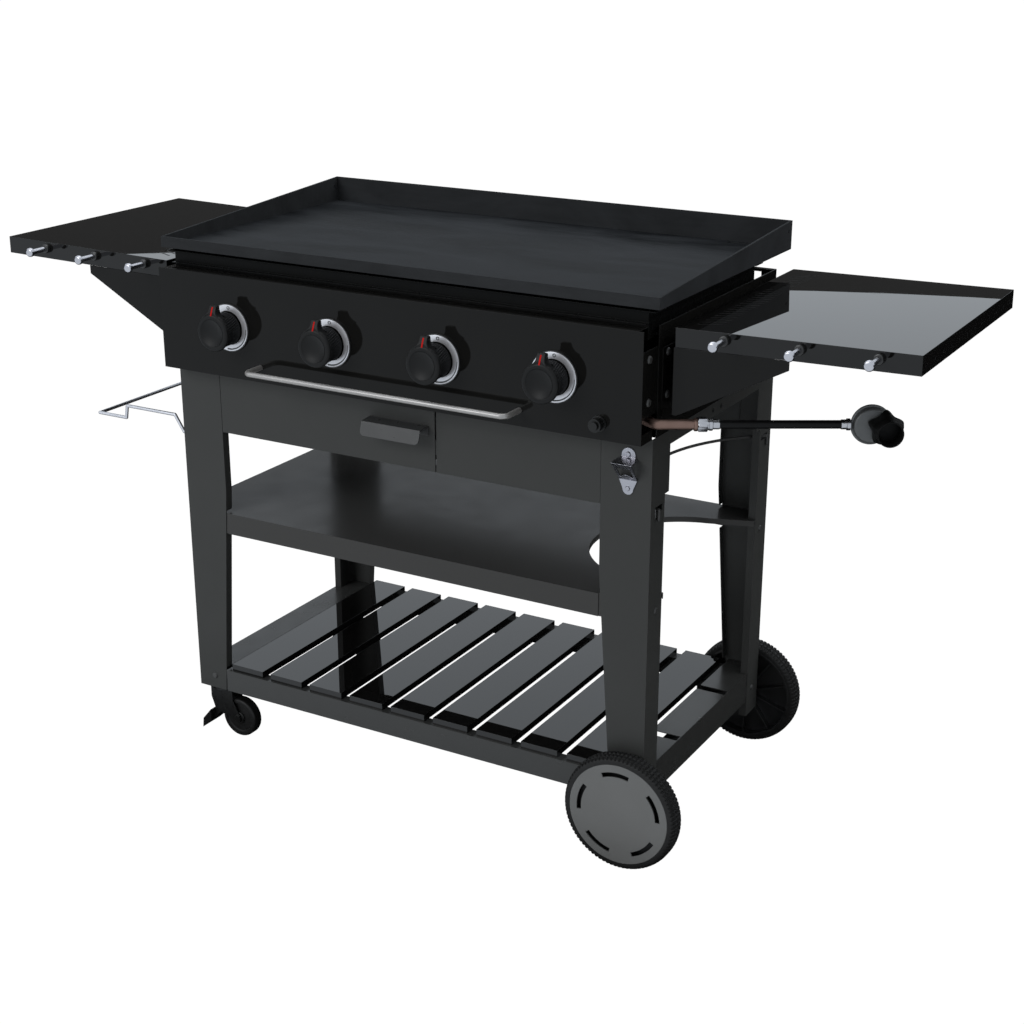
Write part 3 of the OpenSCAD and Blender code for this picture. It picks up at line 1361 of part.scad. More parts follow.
// Triangular arm under the shelf, folded back and in to a flange on the side wall
module bracket() {
    t = shelf_t;
    y0 = shelf_y;
    x0 = bracket_x0;
    x1 = x0 + bracket_l;
    rise = tan(shelf_tilt) * (bracket_l + x0 - shelf_x);
    top_z = shelf_z - shelf_h;
    upright(y0, y0 + t) polygon([[x0, top_z - set_gap], [x1, top_z + rise - set_gap],
        [x1, top_z + rise - bracket_tip_h], [x0 + bracket_foot_w, bracket_foot_z],
        [x0, bracket_foot_z]]);
    slab([x0, y0, bracket_foot_z], [x0 + t, y0 + bracket_spine_d, top_z - bracket_drop]);
    slab([cart_x, y0 + bracket_spine_d - t, bracket_flange_z],
        [x0 + t, y0 + bracket_spine_d, top_z - bracket_drop]);
    slab([cart_x, y0 + bracket_spine_d - bracket_flange_d, bracket_flange_z],
        [cart_x + t, y0 + bracket_spine_d, bracket_flange_z + bracket_flange_h]);
    slab([x0 + bracket_tab_x, y0 + t, top_z - bracket_tab_h / 2],
        [x0 + bracket_tab_x + bracket_tab_l, y0 + 2 * t, top_z + bracket_tab_h / 2]);
}

module shelf_brackets() placed() color("#242423") both_sides() {
    bracket();
    turned(shelf_y + shelf_d / 2) bracket();
}

// A tool hook on the front skirt: collar, pin and flat round head
module tool_hook(share) {
    x = shelf_x + share * shelf_w;
    z = shelf_z + tan(shelf_tilt) * share * shelf_w - hook_drop;
    translate([x, shelf_y, z]) rotate([90, 0, 0]) rotate_extrude() polygon([[0, 0],
        [hook_collar_r, 0], [hook_collar_r, hook_collar_l - hook_edge],
        [hook_collar_r - hook_edge, hook_collar_l], [hook_pin_r, hook_collar_l],
        [hook_pin_r, hook_reach - hook_head_l], [hook_head_r - hook_edge, hook_reach - hook_head_l],
        [hook_head_r, hook_reach - hook_head_l + hook_edge], [hook_head_r, hook_reach - hook_edge],
        [hook_head_r - hook_edge, hook_reach], [0, hook_reach]]);
}

module tool_hooks() placed() color("#c4c6c8") {
    for (share = right_hook_shares) tool_hook(share);
    mirror([1, 0, 0]) for (share = left_hook_shares) tool_hook(share);
}

// Opener pressed from one sheet: a tab with a screw, a hood folded out and back with the mouth for a
// cap in its lower face, and a second tab
module bottle_opener() placed() color("#c9cccf") {
    t = opener_t;
    reach = opener_reach;
    y0 = front_y - t;
    top_z = opener_z + opener_h;
    fold_z = top_z - opener_tab_h;
    edge_z = fold_z - opener_edge_drop;
    low_z = top_z - opener_hood_low;
    fall = fold_z - edge_z;
    rise = edge_z - low_z;
    upper_lap = t * norm([reach, fall]) / reach;
    lower_lap = t * norm([reach, rise]) / reach;
    inner_share = 1 - (upper_lap + lower_lap) / (rise + fall);
    screw_z = [top_z - opener_screw_in, opener_z + opener_screw_in];
    difference() {
        intersection() {
            rotate([90, 0, 90]) translate([0, 0, opener_x - opener_w])
                linear_extrude(height = 2 * opener_w) polygon([[y0, opener_z], [y0, low_z],
                    [y0 - reach, edge_z], [y0, fold_z], [y0, top_z], [front_y, top_z],
                    [front_y, fold_z + fall * t / reach - upper_lap],
                    [y0 - reach * inner_share, low_z + rise * inner_share + lower_lap],
                    [front_y, low_z - rise * t / reach + lower_lap], [front_y, opener_z]]);
            upright(y0 - reach - over, front_y + over) translate([opener_x, 0]) {
                translate([0, top_z - opener_top_r]) circle(r = opener_top_r);
                translate([0, opener_z + opener_low_r]) circle(r = opener_low_r);
                polygon([[-opener_top_r, top_z - opener_top_r], [-opener_top_r, fold_z],
                    [-opener_w / 2, edge_z + t], [-opener_w / 2, edge_z - t], [-opener_waist, low_z],
                    [-opener_low_r, opener_z + opener_low_r], [opener_low_r, opener_z + opener_low_r],
                    [opener_waist, low_z], [opener_w / 2, edge_z - t], [opener_w / 2, edge_z + t],
                    [opener_top_r, fold_z], [opener_top_r, top_z - opener_top_r]]);
            }
        }
        for (z = screw_z) along_y(opener_x, z, y0 - over, front_y + over, opener_hole_r);
        upright(y0 - reach, front_y - run_gap) translate([opener_x, low_z]) difference() {
            translate([-opener_mouth_w / 2, opener_mouth_rise]) square([opener_mouth_w, opener_mouth_h]);
            circle(r = opener_tongue_r);
        }
    }
    for (z = screw_z) translate([opener_x, y0, z]) rotate([90, 0, 0])
        head(opener_screw_r, opener_screw_t);
}

// The route of one arm of the bag wire, in the plane at y
function bag_arm(y) = [[cart_x - bag_tail, y, bag_wire_z], [cart_x + bag_step1, y, bag_wire_z],
    [cart_x + bag_step2, y, bag_wire_z + bag_rise], [cart_x + bag_step3, y, bag_wire_z + bag_rise],
    [cart_x + bag_step4, y, bag_wire_z + bag_low], [cart_x + bag_reach, y, bag_wire_z + bag_low]];

// Two bent arms joined by a bar, hooked into the left legs, to hold a bag
module trash_bag_wire() placed() color("#b9bcbf") mirror([1, 0, 0]) {
    rear = bag_arm(2 * mid_y - bag_wire_y);
    thin_wire(concat(bag_arm(bag_wire_y), [for (i = [len(rear) - 1 : -1 : 0]) rear[i]]), bag_wire_r);
}

// A bowed wire across the bottle's bay, hooked through the right legs
module tank_wire() placed() color("#2b2c2c") translate([tank_wire_x, mid_y, tank_wire_z]) {
    rotate([0, 0, 180 - tank_arc_half]) rotate_extrude(angle = 2 * tank_arc_half, $fn = 128)
        translate([tank_arc_r, 0]) circle(r = tank_wire_r);
    for (s = [-1, 1]) translate([-tank_arc_r * cos(tank_arc_half),
        s * tank_arc_r * sin(tank_arc_half), 0]) {
        sphere(r = tank_wire_r + run_gap);
        translate([0, 0, -tank_hook_l]) cylinder(h = tank_hook_l, r = tank_wire_r);
    }
}

// A screw head that stands on a face, drawn along +Z
module head(r, t) cylinder(h = t, r1 = r, r2 = r * head_top_share);

module fasteners() placed() color("#2b2c2c") {
    both_sides() for (z = [lower_bolt_z, upper_bolt_z]) {
        translate([panel_x, panel_bolt_y, z]) rotate([0, 90, 0]) head(bolt_r, bolt_t);
        translate([cart_x + shelf_t, bracket_bolt_y, z]) rotate([0, 90, 0]) head(bolt_r, bolt_t);
        translate([cart_x + shelf_t, 2 * shelf_y + shelf_d - bracket_bolt_y, z])
            rotate([0, 90, 0]) head(bolt_r, bolt_t);
    }
    for (m = [0, 1]) translate([0, m * 2 * mid_y, 0]) mirror([0, m, 0]) both_sides() {
        translate([cart_x, leg_screw_y, leg_screw_z]) rotate([0, 90, 0]) head(screw_r, screw_t);
        translate([cart_x, leg_screw_y, foot_screw_z]) rotate([0, 90, 0]) head(screw_r, screw_t);
        translate([face_screw_x, front_y, face_screw_z]) rotate([90, 0, 0]) head(screw_r, screw_t);
    }
}

griddle_plate();
firebox();
control_panel();
body_side_panels();
rear_body_panel();
burners();
gas_manifold();
gas_valves();
valve_stem(1);  // valve_stem_1
valve_stem(2);  // valve_stem_2
valve_stem(3);  // valve_stem_3
valve_stem(4);  // valve_stem_4
knob(1);  // knob_1
knob(2);  // knob_2
knob(3);  // knob_3
knob(4);  // knob_4
knob_bezels();
igniter_housing();
igniter_button();
towel_bar();
supply_pipe();
hose_fittings();
gas_hose();
regulator_body();
regulator_handwheel();
left_shelf();
right_shelf();
shelf_brackets();
tool_hooks();
front_left_leg();
front_right_leg();
rear_left_leg();
rear_right_leg();
drawer_front();
drawer_box();
drawer_handle();
drawer_runners();
fixed_front_panel();
upper_rails();
middle_shelf();
end_low_rails();
side_low_rails();
slats();
wheel_axle();
front_tyre();
front_wheel_hub();
rear_tyre();
rear_wheel_hub();
caster_plates();
front_caster_fork();
rear_caster_fork();
front_caster_wheel();
rear_caster_wheel();
front_brake_pedal();
rear_brake_pedal();
bottle_opener();
trash_bag_wire();
tank_wire();
grease_cup();
fasteners();
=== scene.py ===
import math

import bmesh
import bpy
import numpy as np
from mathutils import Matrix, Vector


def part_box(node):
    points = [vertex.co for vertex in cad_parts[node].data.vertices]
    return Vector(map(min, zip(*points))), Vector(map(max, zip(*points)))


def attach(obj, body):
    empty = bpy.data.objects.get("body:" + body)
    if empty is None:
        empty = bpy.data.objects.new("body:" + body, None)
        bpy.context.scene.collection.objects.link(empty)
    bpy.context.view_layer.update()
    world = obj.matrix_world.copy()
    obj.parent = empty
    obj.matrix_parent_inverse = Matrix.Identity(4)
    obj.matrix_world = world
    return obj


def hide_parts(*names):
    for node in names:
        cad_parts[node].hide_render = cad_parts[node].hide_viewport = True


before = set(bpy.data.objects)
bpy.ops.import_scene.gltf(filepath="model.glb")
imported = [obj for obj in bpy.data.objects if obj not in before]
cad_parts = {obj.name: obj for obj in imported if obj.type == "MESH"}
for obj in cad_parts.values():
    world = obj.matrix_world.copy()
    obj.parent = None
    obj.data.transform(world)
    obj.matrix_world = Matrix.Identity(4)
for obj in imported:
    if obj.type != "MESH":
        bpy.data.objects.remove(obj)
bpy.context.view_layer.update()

# The studio: a plain pale floor, soft lamps above, and the camera where the photograph was taken from.
# Dark cloths lie under the station and hang low behind it. Only glossy surfaces see them: they give
# the black enamel its dark edges.
floor_half = 40
cloth_radius = 6
cloth_height = 2.172
cloth_front = -0.34
cloth_lift = 0.002
wall_glow = 0.055
floor_glow = 1.04
backdrop_share = 0.97
paper_white = (1, 1, 1, 1)
mirrored_white = (0.90, 0.965, 1.03, 1)
scene = bpy.context.scene
scene.view_settings.view_transform = "Standard"

camera = bpy.data.objects.new("camera", bpy.data.cameras.new("camera"))
camera.data.lens = 60.75
camera.location = (1.5052, -2.46305, 1.5099)
camera.rotation_euler = (math.radians(70.03), 0, math.radians(29.91))
scene.collection.objects.link(camera)
scene.camera = camera


def add_node(tree, kind, inputs=None, **settings):
    """One shader node. Its inputs are plain values, or sockets of other nodes to be linked from."""
    made = tree.nodes.new("ShaderNode" + kind)
    for name, value in settings.items():
        setattr(made, name, value)
    for key, value in (inputs or {}).items():
        if isinstance(value, bpy.types.NodeSocket):
            tree.links.new(value, made.inputs[key])
        else:
            made.inputs[key].default_value = value
    return made


def backdrop_sight(tree):
    """1 for the rays that show a background: from the camera, off gloss and through glass."""
    path = add_node(tree, "LightPath")
    gloss = add_node(tree, "Math", {0: path.outputs["Is Camera Ray"], 1: path.outputs["Is Glossy Ray"]},
                     operation="MAXIMUM")
    return add_node(tree, "Math", {0: gloss.outputs[0], 1: path.outputs["Is Transmission Ray"]},
                    operation="MAXIMUM").outputs[0]


def plain_mesh(name, points, faces):
    """A mesh object from lists of points and faces."""
    mesh = bpy.data.meshes.new(name)
    mesh.from_pydata(points, [], faces)
    made = bpy.data.objects.new(name, mesh)
    scene.collection.objects.link(made)
    return made


def cool_sight(tree):
    """White where the camera looks, and the studio's cooler white in what gloss mirrors."""
    path = add_node(tree, "LightPath")
    return add_node(tree, "Mix", {0: path.outputs["Is Glossy Ray"], 6: paper_white,
                                  7: mirrored_white}, data_type="RGBA").outputs[2]


def cloth(name, points, faces, glow):
    """A piece of dark cloth that only glossy surfaces see, lit evenly by glow."""
    made = plain_mesh(name, points, faces)
    dye = bpy.data.materials.new(name + "_dye")
    dye.use_nodes = True
    skin = dye.node_tree.nodes["Principled BSDF"]
    skin.inputs["Base Color"].default_value = (0.008, 0.008, 0.008, 1)
    skin.inputs["Specular IOR Level"].default_value = 0
    skin.inputs["Emission Color"].default_value = (1, 1, 1, 1)
    skin.inputs["Emission Strength"].default_value = glow
    made.data.materials.append(dye)
    made.visible_camera = False
    made.visible_diffuse = False
    made.visible_transmission = False
    made.visible_shadow = False
    return made


floor = plain_mesh("floor", [(-floor_half, -floor_half, 0), (floor_half, -floor_half, 0),
                             (floor_half, floor_half, 0), (-floor_half, floor_half, 0)], [(0, 1, 2, 3)])
floor_paint = bpy.data.materials.new("floor_paint")
floor_paint.use_nodes = True
tree = floor_paint.node_tree
matt = add_node(tree, "BsdfDiffuse", {"Color": (0.8, 0.8, 0.8, 1)})
glow = add_node(tree, "Emission", {"Color": cool_sight(tree), "Strength": floor_glow})
share = add_node(tree, "Math", {0: backdrop_sight(tree), 1: backdrop_share}, operation="MULTIPLY")
blend = add_node(tree, "MixShader", {0: share.outputs[0], 1: matt.outputs[0], 2: glow.outputs[0]})
tree.links.new(blend.outputs[0], tree.nodes["Material Output"].inputs["Surface"])
floor.data.materials.append(floor_paint)

cloth_turns = 65
turn = np.linspace(-0.15 * math.pi, 1.15 * math.pi, cloth_turns)
way = np.stack([np.cos(turn), np.sin(turn), 0 * turn], 1)
hang = np.vstack([way * cloth_radius + [0, 0, cloth_lift], way * cloth_radius + [0, 0, cloth_height]])
panels = [(i, i + 1, cloth_turns + i + 1, cloth_turns + i) for i in range(cloth_turns - 1)]
wall_cloth = cloth("wall_cloth", hang.tolist(), panels, wall_glow)
ground = [(-cloth_radius, cloth_front, cloth_lift), (cloth_radius, cloth_front, cloth_lift),
          (cloth_radius, cloth_radius, cloth_lift), (-cloth_radius, cloth_radius, cloth_lift)]
ground_cloth = cloth("ground_cloth", ground, [(0, 1, 2, 3)], 0.0)

lamp_aim = 0.6
world = bpy.data.worlds.new("studio_air")
world.use_nodes = True
scene.world = world
tree = world.node_tree
level = add_node(tree, "Math", {0: backdrop_sight(tree), 1: 0.72, 2: 0.28}, operation="MULTIPLY_ADD")
tree.links.new(level.outputs[0], tree.nodes["Background"].inputs["Strength"])
tree.links.new(cool_sight(tree), tree.nodes["Background"].inputs["Color"])


def soft_lamp(name, place, size, power):
    """A square lamp that faces the middle of the station, at lamp_aim above the floor, and that the
    camera doesn't see."""
    lamp = bpy.data.objects.new(name, bpy.data.lights.new(name, "AREA"))
    lamp.data.size = size
    lamp.data.energy = power
    lamp.location = place
    towards = np.array([0, 0, lamp_aim]) - place
    flat = math.hypot(towards[0], towards[1])
    lamp.rotation_euler = (math.atan2(flat, -towards[2]), 0, math.atan2(-towards[0], towards[1]))
    lamp.visible_camera = False
    scene.collection.objects.link(lamp)


soft_lamp("front_lamp", (-1.6, -3.6, 2.6), 2.2, 62)
soft_lamp("top_lamp", (-0.6, 0.6, 3.6), 2.4, 30)
soft_lamp("side_lamp", (2.8, 1.2, 2.5), 2.0, 26)
bpy.data.objects["side_lamp"].visible_glossy = False

# The gas hose: stiff black rubber on the right, held taut by its own stiffness between the ferrule of
# the copper pipe and the nut of the regulator. It is a cord, so it is made first; the fittings at its
# ends come in the section on the gas line.
row_shift = 0.25525
hose_diameter = 0.013
hose_route = np.array([
    [545.3, 81.1, 753.7], [555.7, 87.1, 753.7], [566.1, 93.1, 753.7], [576.5, 99.1, 753.7],
    [586.9, 105.1, 753.7], [597.3, 111.1, 753.7], [607.7, 117.1, 753.7], [618.1, 123.1, 753.7],
    [628.5, 129.1, 753.7], [638.9, 135.1, 753.7], [649.3, 141.1, 753.7], [659.7, 147.1, 753.7],
    [670.1, 153.1, 753.7], [680.5, 159.1, 753.7], [690.9, 165.1, 753.7], [701.3, 171.2, 753.7]
]) / 1000 - [0, row_shift, 0]


def unit(vector):
    """The vector at length 1, row by row."""
    vector = np.asarray(vector, float)
    return vector / np.linalg.norm(vector, axis=-1, keepdims=True)


def tube(path, radius, sides=24, up=(0, 0, 1)):
    """Circles square to a path: centre + radius x (cos a x side + sin a x over), where side is the path's
    direction crossed with up, and over is side crossed with the direction. A point closes each end."""
    path = np.asarray(path, float)
    ahead = unit(np.gradient(path, axis=0))
    side = unit(np.cross(ahead, up))
    over = np.cross(side, ahead)
    turn = np.linspace(0, 2 * math.pi, sides, endpoint=False)[None, :, None]
    radius = np.broadcast_to(np.asarray(radius, float), len(path))[:, None, None]
    rings = path[:, None] + radius * (np.cos(turn) * side[:, None] + np.sin(turn) * over[:, None])
    ends = np.repeat(path[[0, -1], None], sides, 1)
    return np.concatenate([ends[:1], rings, ends[1:]])


def piece(name, body, finish, slot, *patches, crease=35):
    """One object from grids of points. Point (i, j) joins (i + 1, j) and (i, j + 1), and a grid's last
    column joins its first. Points that meet are merged, and faces point outwards."""
    points, faces, start = [], [], 0
    for grid in patches:
        rows, columns = grid.shape[:2]
        at = start + np.arange(rows * columns).reshape(rows, columns)
        at = np.hstack([at, at[:, :1]])
        faces.append(np.stack([at[:-1, :-1], at[:-1, 1:], at[1:, 1:], at[1:, :-1]], -1).reshape(-1, 4))
        points.append(grid.reshape(-1, 3))
        start += rows * columns
    made = plain_mesh(name, np.vstack(points).tolist(), np.vstack(faces).tolist())
    shell = bmesh.new()
    shell.from_mesh(made.data)
    bmesh.ops.remove_doubles(shell, verts=shell.verts, dist=1e-6)
    bmesh.ops.recalc_face_normals(shell, faces=shell.faces)
    shell.to_mesh(made.data)
    shell.free()
    made.data.shade_smooth()
    made.data.set_sharp_from_angle(angle=math.radians(crease))
    made.data.materials.append(finish)
    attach(made, body)
    return made


def coating(name, dark, light, rough, patch=6, grain=900, depth=0.00004, edge=0.0, wear_and_highlight=None, **sockets):
    """A finish over metal, rubber or plastic: two close tones in cloudy patches, roughness that drifts,
    a fine grain pressed in by depth, and edges rounded by edge. The rounded edges are painted a lighter
    colour in patches: partly rubbed wear, partly a painted highlight along the folds."""
    finish = bpy.data.materials.new(name)
    finish.use_nodes = True
    tree = finish.node_tree
    skin = tree.nodes["Principled BSDF"]
    for socket, value in sockets.items():
        skin.inputs[socket.replace("_", " ")].default_value = value
    place = add_node(tree, "TexCoord").outputs["Object"]
    clouds = add_node(tree, "TexNoise", {"Vector": place, "Scale": patch, "Detail": 6, "Roughness": 0.6})
    tone = add_node(tree, "Mix", {0: clouds.outputs["Fac"], 6: (*dark, 1), 7: (*light, 1)},
                    data_type="RGBA")
    colour = tone.outputs[2]
    drift = add_node(tree, "TexNoise", {"Vector": place, "Scale": patch * 5, "Detail": 4})
    rough_level = add_node(tree, "MapRange", {0: drift.outputs["Fac"], 1: 0.3, 2: 0.7, 3: rough[0],
                                             4: rough[1]})
    speckle = add_node(tree, "TexNoise", {"Vector": place, "Scale": grain, "Detail": 2})
    bump = add_node(tree, "Bump", {"Height": speckle.outputs["Fac"], "Distance": depth,
                                   "Strength": 1.0})
    if edge:
        rounded = add_node(tree, "Bevel", {"Radius": edge}, samples=4)
        tree.links.new(rounded.outputs[0], bump.inputs["Normal"])
        # Lighter edges where the bevel turns the normal: partly rubbed wear, partly a painted highlight
        # along the folds.
        if wear_and_highlight:
            flat = add_node(tree, "NewGeometry").outputs["Normal"]
            bend = add_node(tree, "VectorMath", {0: rounded.outputs[0], 1: flat}, operation="DOT_PRODUCT")
            worn_and_lit_edge = add_node(tree, "MapRange", {0: bend.outputs["Value"], 1: 0.995, 2: 0.8, 3: 0.0, 4: 1.0})
            worn_and_lit_edge = add_node(tree, "Math", {0: worn_and_lit_edge.outputs[0], 1: drift.outputs["Fac"]},
                              operation="MULTIPLY")
            colour = add_node(tree, "Mix", {0: worn_and_lit_edge.outputs[0], 6: colour, 7: (*wear_and_highlight, 1)},
                              data_type="RGBA").outputs[2]
    tree.links.new(colour, skin.inputs["Base Color"])
    tree.links.new(rough_level.outputs[0], skin.inputs["Roughness"])
    tree.links.new(bump.outputs[0], skin.inputs["Normal"])
    return finish


def dress(finish, *names):
    """Gives CAD nodes a finish."""
    for name in names:
        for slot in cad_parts[name].material_slots:
            slot.material = finish


hose_rubber = coating("hose_rubber", (0.004, 0.004, 0.004), (0.007, 0.007, 0.0075), (0.34, 0.46),
                      patch=20, grain=700, depth=0.00001, Specular_IOR_Level=0.12)
hose_piece = piece("gas_hose_tube", "cart", hose_rubber, "hose_rubber",
                   tube(hose_route, hose_diameter / 2 - 0.00005, 40))
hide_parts("gas_hose")

# The cart's frame: four legs and their rails, folded from sheet steel and coated with dark grey
# powder, which has a fine orange peel. The legs taper to the feet, and the rails are screwed between.
# Its lighter edge colour is partly wear and partly a painted highlight along the folds.
cart_powder = coating("cart_powder", (0.045, 0.047, 0.046), (0.052, 0.054, 0.053), (0.42, 0.52),
                      patch=5, grain=420, depth=0.00004, edge=0.0007, wear_and_highlight=(0.10, 0.105, 0.105),
                      Specular_IOR_Level=0.20)
dress(cart_powder, "front_left_leg", "front_right_leg", "rear_left_leg", "rear_right_leg", "upper_rails")
rail_powder = coating("rail_powder", (0.038, 0.0395, 0.039), (0.044, 0.0455, 0.045), (0.22, 0.28),
                      patch=5, grain=420, depth=0.000002, Specular_IOR_Level=0.34)
dress(rail_powder, "end_low_rails", "side_low_rails")

# The drawer and the fixed panel beside it fill the front between the legs, in the same grey powder.
# The drawer is a folded box on two angle runners, and its pull is a folded strip of thicker steel
# with a smoother coat.
dress(cart_powder, "drawer_front", "drawer_box", "drawer_runners", "fixed_front_panel")
# Its lighter edge colour is partly wear and partly a painted highlight along the folds.
pull_powder = coating("pull_powder", (0.048, 0.050, 0.052), (0.058, 0.061, 0.063), (0.26, 0.36),
                      patch=12, grain=600, depth=0.00003, edge=0.001, wear_and_highlight=(0.10, 0.105, 0.11),
                      Specular_IOR_Level=0.3)
dress(pull_powder, "drawer_handle")

# The middle shelf is one sheet with a folded flange all round and a round bay cut out for the gas
# bottle. Its powder coat is smoother than the legs', so it shows a soft sheen of the room. Its grey is
# painted lighter than the legs' same coat: painted light, for the light that the body above keeps off it.
shelf_powder_lit = coating("shelf_powder_lit", (0.061, 0.062, 0.062), (0.067, 0.068, 0.068), (0.22, 0.27),
                       patch=4, grain=380, depth=0.000002, Specular_IOR_Level=0.11)
dress(shelf_powder_lit, "middle_shelf")

# The lower shelf: nine slats, each a channel of thin steel with glossy black enamel, which lie across
# the end rails and mirror the legs and the sky behind.
slat_enamel = coating("slat_enamel", (0.005, 0.005, 0.005), (0.007, 0.007, 0.007), (0.0, 0.015),
                      patch=7, grain=40, depth=0.0000002, edge=0.0006, Specular_IOR_Level=0.40)
dress(slat_enamel, "slats")

# The two large wheels turn on one steel axle: a hub moulded in black plastic, sprayed grey on its outer
# face, and a rubber tyre stretched over it. Notches and three grooves cut the tread into blocks. The black
# behind the grey face is partly the moulding and partly painted shade, in the spoke slots and on the inner
# side.
tyre_seat = 0.0880
tread_from = 0.0945
tyre_notches = 84
notch_depth = 0.0024
groove_depth = 0.0028
groove_pitch = 0.0088
groove_width = 0.0011
grooved_half = 0.012
grey_face_from = 0.0140
grey_face_to = 0.0160


def corners(node):
    """The lowest and the highest corner of a CAD node, as arrays."""
    low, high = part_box(node)
    return np.array(low), np.array(high)


def turned(profile, centre, axis, sides=96, radius_at=None, up=(0, 0, 1)):
    """A profile of (radius, place along the axis), turned round an axis through centre: centre + place x
    axis + radius x (cos a x up + sin a x side). radius_at may change the radius with the angle."""
    profile = np.asarray(profile, float)
    axis = unit(axis)
    up = unit(np.asarray(up, float) - np.dot(up, axis) * axis)
    side = np.cross(axis, up)
    turn = np.linspace(0, 2 * math.pi, sides, endpoint=False)
    radius = np.repeat(profile[:, :1], sides, 1)
    if radius_at:
        radius = radius_at(radius, profile[:, 1:], turn[None])
    turn = turn[None, :, None]
    return (np.asarray(centre, float) + profile[:, 1][:, None, None] * axis
            + radius[..., None] * (np.cos(turn) * up + np.sin(turn) * side))


def arc(centre, radius, start, stop, count=6):
    """Points of a profile on a round corner, from one angle to another, in degrees."""
    turn = np.radians(np.linspace(start, stop, count))
    return np.stack([centre[0] + radius * np.cos(turn), centre[1] + radius * np.sin(turn)], 1)


def tread(radius, across, turn):
    """The tread: radius - the deeper of a notch, cos(notches x angle) cut off at 0 and 1, and a groove,
    a bell curve round every groove_pitch across. Both fade out below tread_from."""
    notch = np.clip(np.cos(tyre_notches * turn) * 2.0 - 0.6, 0, 1)
    groove = np.exp(-((np.abs(across) % groove_pitch - 0.0001) / groove_width) ** 2)
    groove = groove_depth * groove * (np.abs(across) < grooved_half)
    outer = np.clip((radius - tread_from) / 0.003, 0, 1)
    return radius - outer * np.maximum(notch_depth * notch, groove)


tyre_rubber = coating("tyre_rubber", (0.010, 0.010, 0.010), (0.014, 0.014, 0.014), (0.48, 0.62),
                      patch=18, grain=1100, depth=0.00003, Specular_IOR_Level=0.22)
for end, outward in (("front", -1), ("rear", 1)):
    low, high = corners(end + "_tyre")
    middle = (low + high) / 2
    hub_plastic = coating(end + "_hub_plastic", (0.145, 0.150, 0.150), (0.170, 0.175, 0.175), (0.38, 0.50),
                          patch=9, grain=800, depth=0.00002, edge=0.0012)
    tree = hub_plastic.node_tree
    base = tree.nodes["Principled BSDF"].inputs["Base Color"]
    along = add_node(tree, "SeparateXYZ", {0: add_node(tree, "TexCoord").outputs["Object"]}).outputs["Y"]
    grey_face_share = add_node(tree, "MapRange", {0: along, 1: middle[1] + outward * grey_face_from,
                                          2: middle[1] + outward * grey_face_to})
    # Behind its grey face the hub is black: the black moulding, and painted shade in the spoke slots and on
    # the inner side.
    face_and_shade_tone = add_node(tree, "Mix", {0: grey_face_share.outputs[0], 6: (0.009, 0.009, 0.009, 1),
                                      7: base.links[0].from_socket}, data_type="RGBA")
    tree.links.new(face_and_shade_tone.outputs[2], base)
    dress(hub_plastic, end + "_wheel_hub")
    half = (high[1] - low[1]) / 2
    outer = (high[2] - low[2]) / 2
    crown = np.linspace(-1, 1, 33)
    crown_points = np.stack([outer - 0.0028 * crown ** 4, crown * (half - 0.0030)], 1)
    side = np.array([[tyre_seat, half], [0.0905, half], [0.0940, half - 0.0003],
                     [0.0962, half - 0.0012], [0.0972, half - 0.0022]])
    rim = np.array([[tyre_seat, -half], [tyre_seat, half]])
    section = np.vstack([rim[:1], side[1:] * [1, -1], crown_points, side[:0:-1], rim[1:], rim[:1]])
    tyre = piece(end + "_tyre_rubber", end + "_wheel", tyre_rubber, "tyre_rubber",
                 turned(section, middle, (0, 1, 0), tyre_notches * 8, tread), crease=50)
    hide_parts(end + "_tyre")
axle_steel = coating("axle_steel", (0.42, 0.43, 0.44), (0.52, 0.53, 0.54), (0.28, 0.42), patch=30,
                     grain=900, depth=0.00004, Metallic=1.0)
dress(axle_steel, "wheel_axle")

# The casters: a blackened steel plate screwed under the rail, a pressed fork that swivels on it, a
# solid rubber tyre on a black nylon centre, and a pressed foot pedal that brakes the wheel.
# Its lighter edge colour is partly wear and partly a painted highlight along the edges.
caster_black = coating("caster_black", (0.007, 0.007, 0.007), (0.012, 0.012, 0.012), (0.26, 0.40),
                       patch=30, grain=900, depth=0.00003, edge=0.0007, wear_and_highlight=(0.05, 0.05, 0.05),
                       Specular_IOR_Level=0.3)
dress(caster_black, "caster_plates", "front_caster_fork", "rear_caster_fork", "front_brake_pedal",
      "rear_brake_pedal")
roller_rubber = coating("roller_rubber", (0.008, 0.008, 0.008), (0.014, 0.014, 0.014), (0.40, 0.55),
                        patch=40, grain=1200, depth=0.00005, Specular_IOR_Level=0.25)
for end in ("front", "rear"):
    low, high = corners(end + "_caster_wheel")
    middle = (low + high) / 2
    outer = (high[2] - low[2]) / 2
    half = (high[1] - low[1]) / 2
    face = np.vstack([[[0.0040, half], [0.0100, half], [0.0112, half - 0.0010], [0.0115, half - 0.0040],
                       [0.0270, half - 0.0045], [0.0285, half - 0.0030], [0.0292, half - 0.0012]],
                      arc((outer - 0.0045, half - 0.0055), 0.0045, 80, 0, 7)])
    section = np.vstack([face, face[::-1] * [1, -1], face[:1]])
    roller = piece(end + "_caster_tyre", end + "_caster_roller", roller_rubber, "caster_rubber",
                   turned(section, middle, (0, 1, 0), 96))
    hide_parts(end + "_caster_wheel")

# The body: two side walls, a rear wall with its vent, and the control panel in front, all of thin
# steel with glossy black enamel that mirrors the knobs.
panel_enamel = coating("panel_enamel", (0.0085, 0.0085, 0.0082), (0.0105, 0.0105, 0.0101), (0.02, 0.05),
                       patch=5, grain=60, depth=0.0000005, edge=0.0009, Specular_IOR_Level=0.13)
dress(panel_enamel, "control_panel", "body_side_panels", "rear_body_panel")
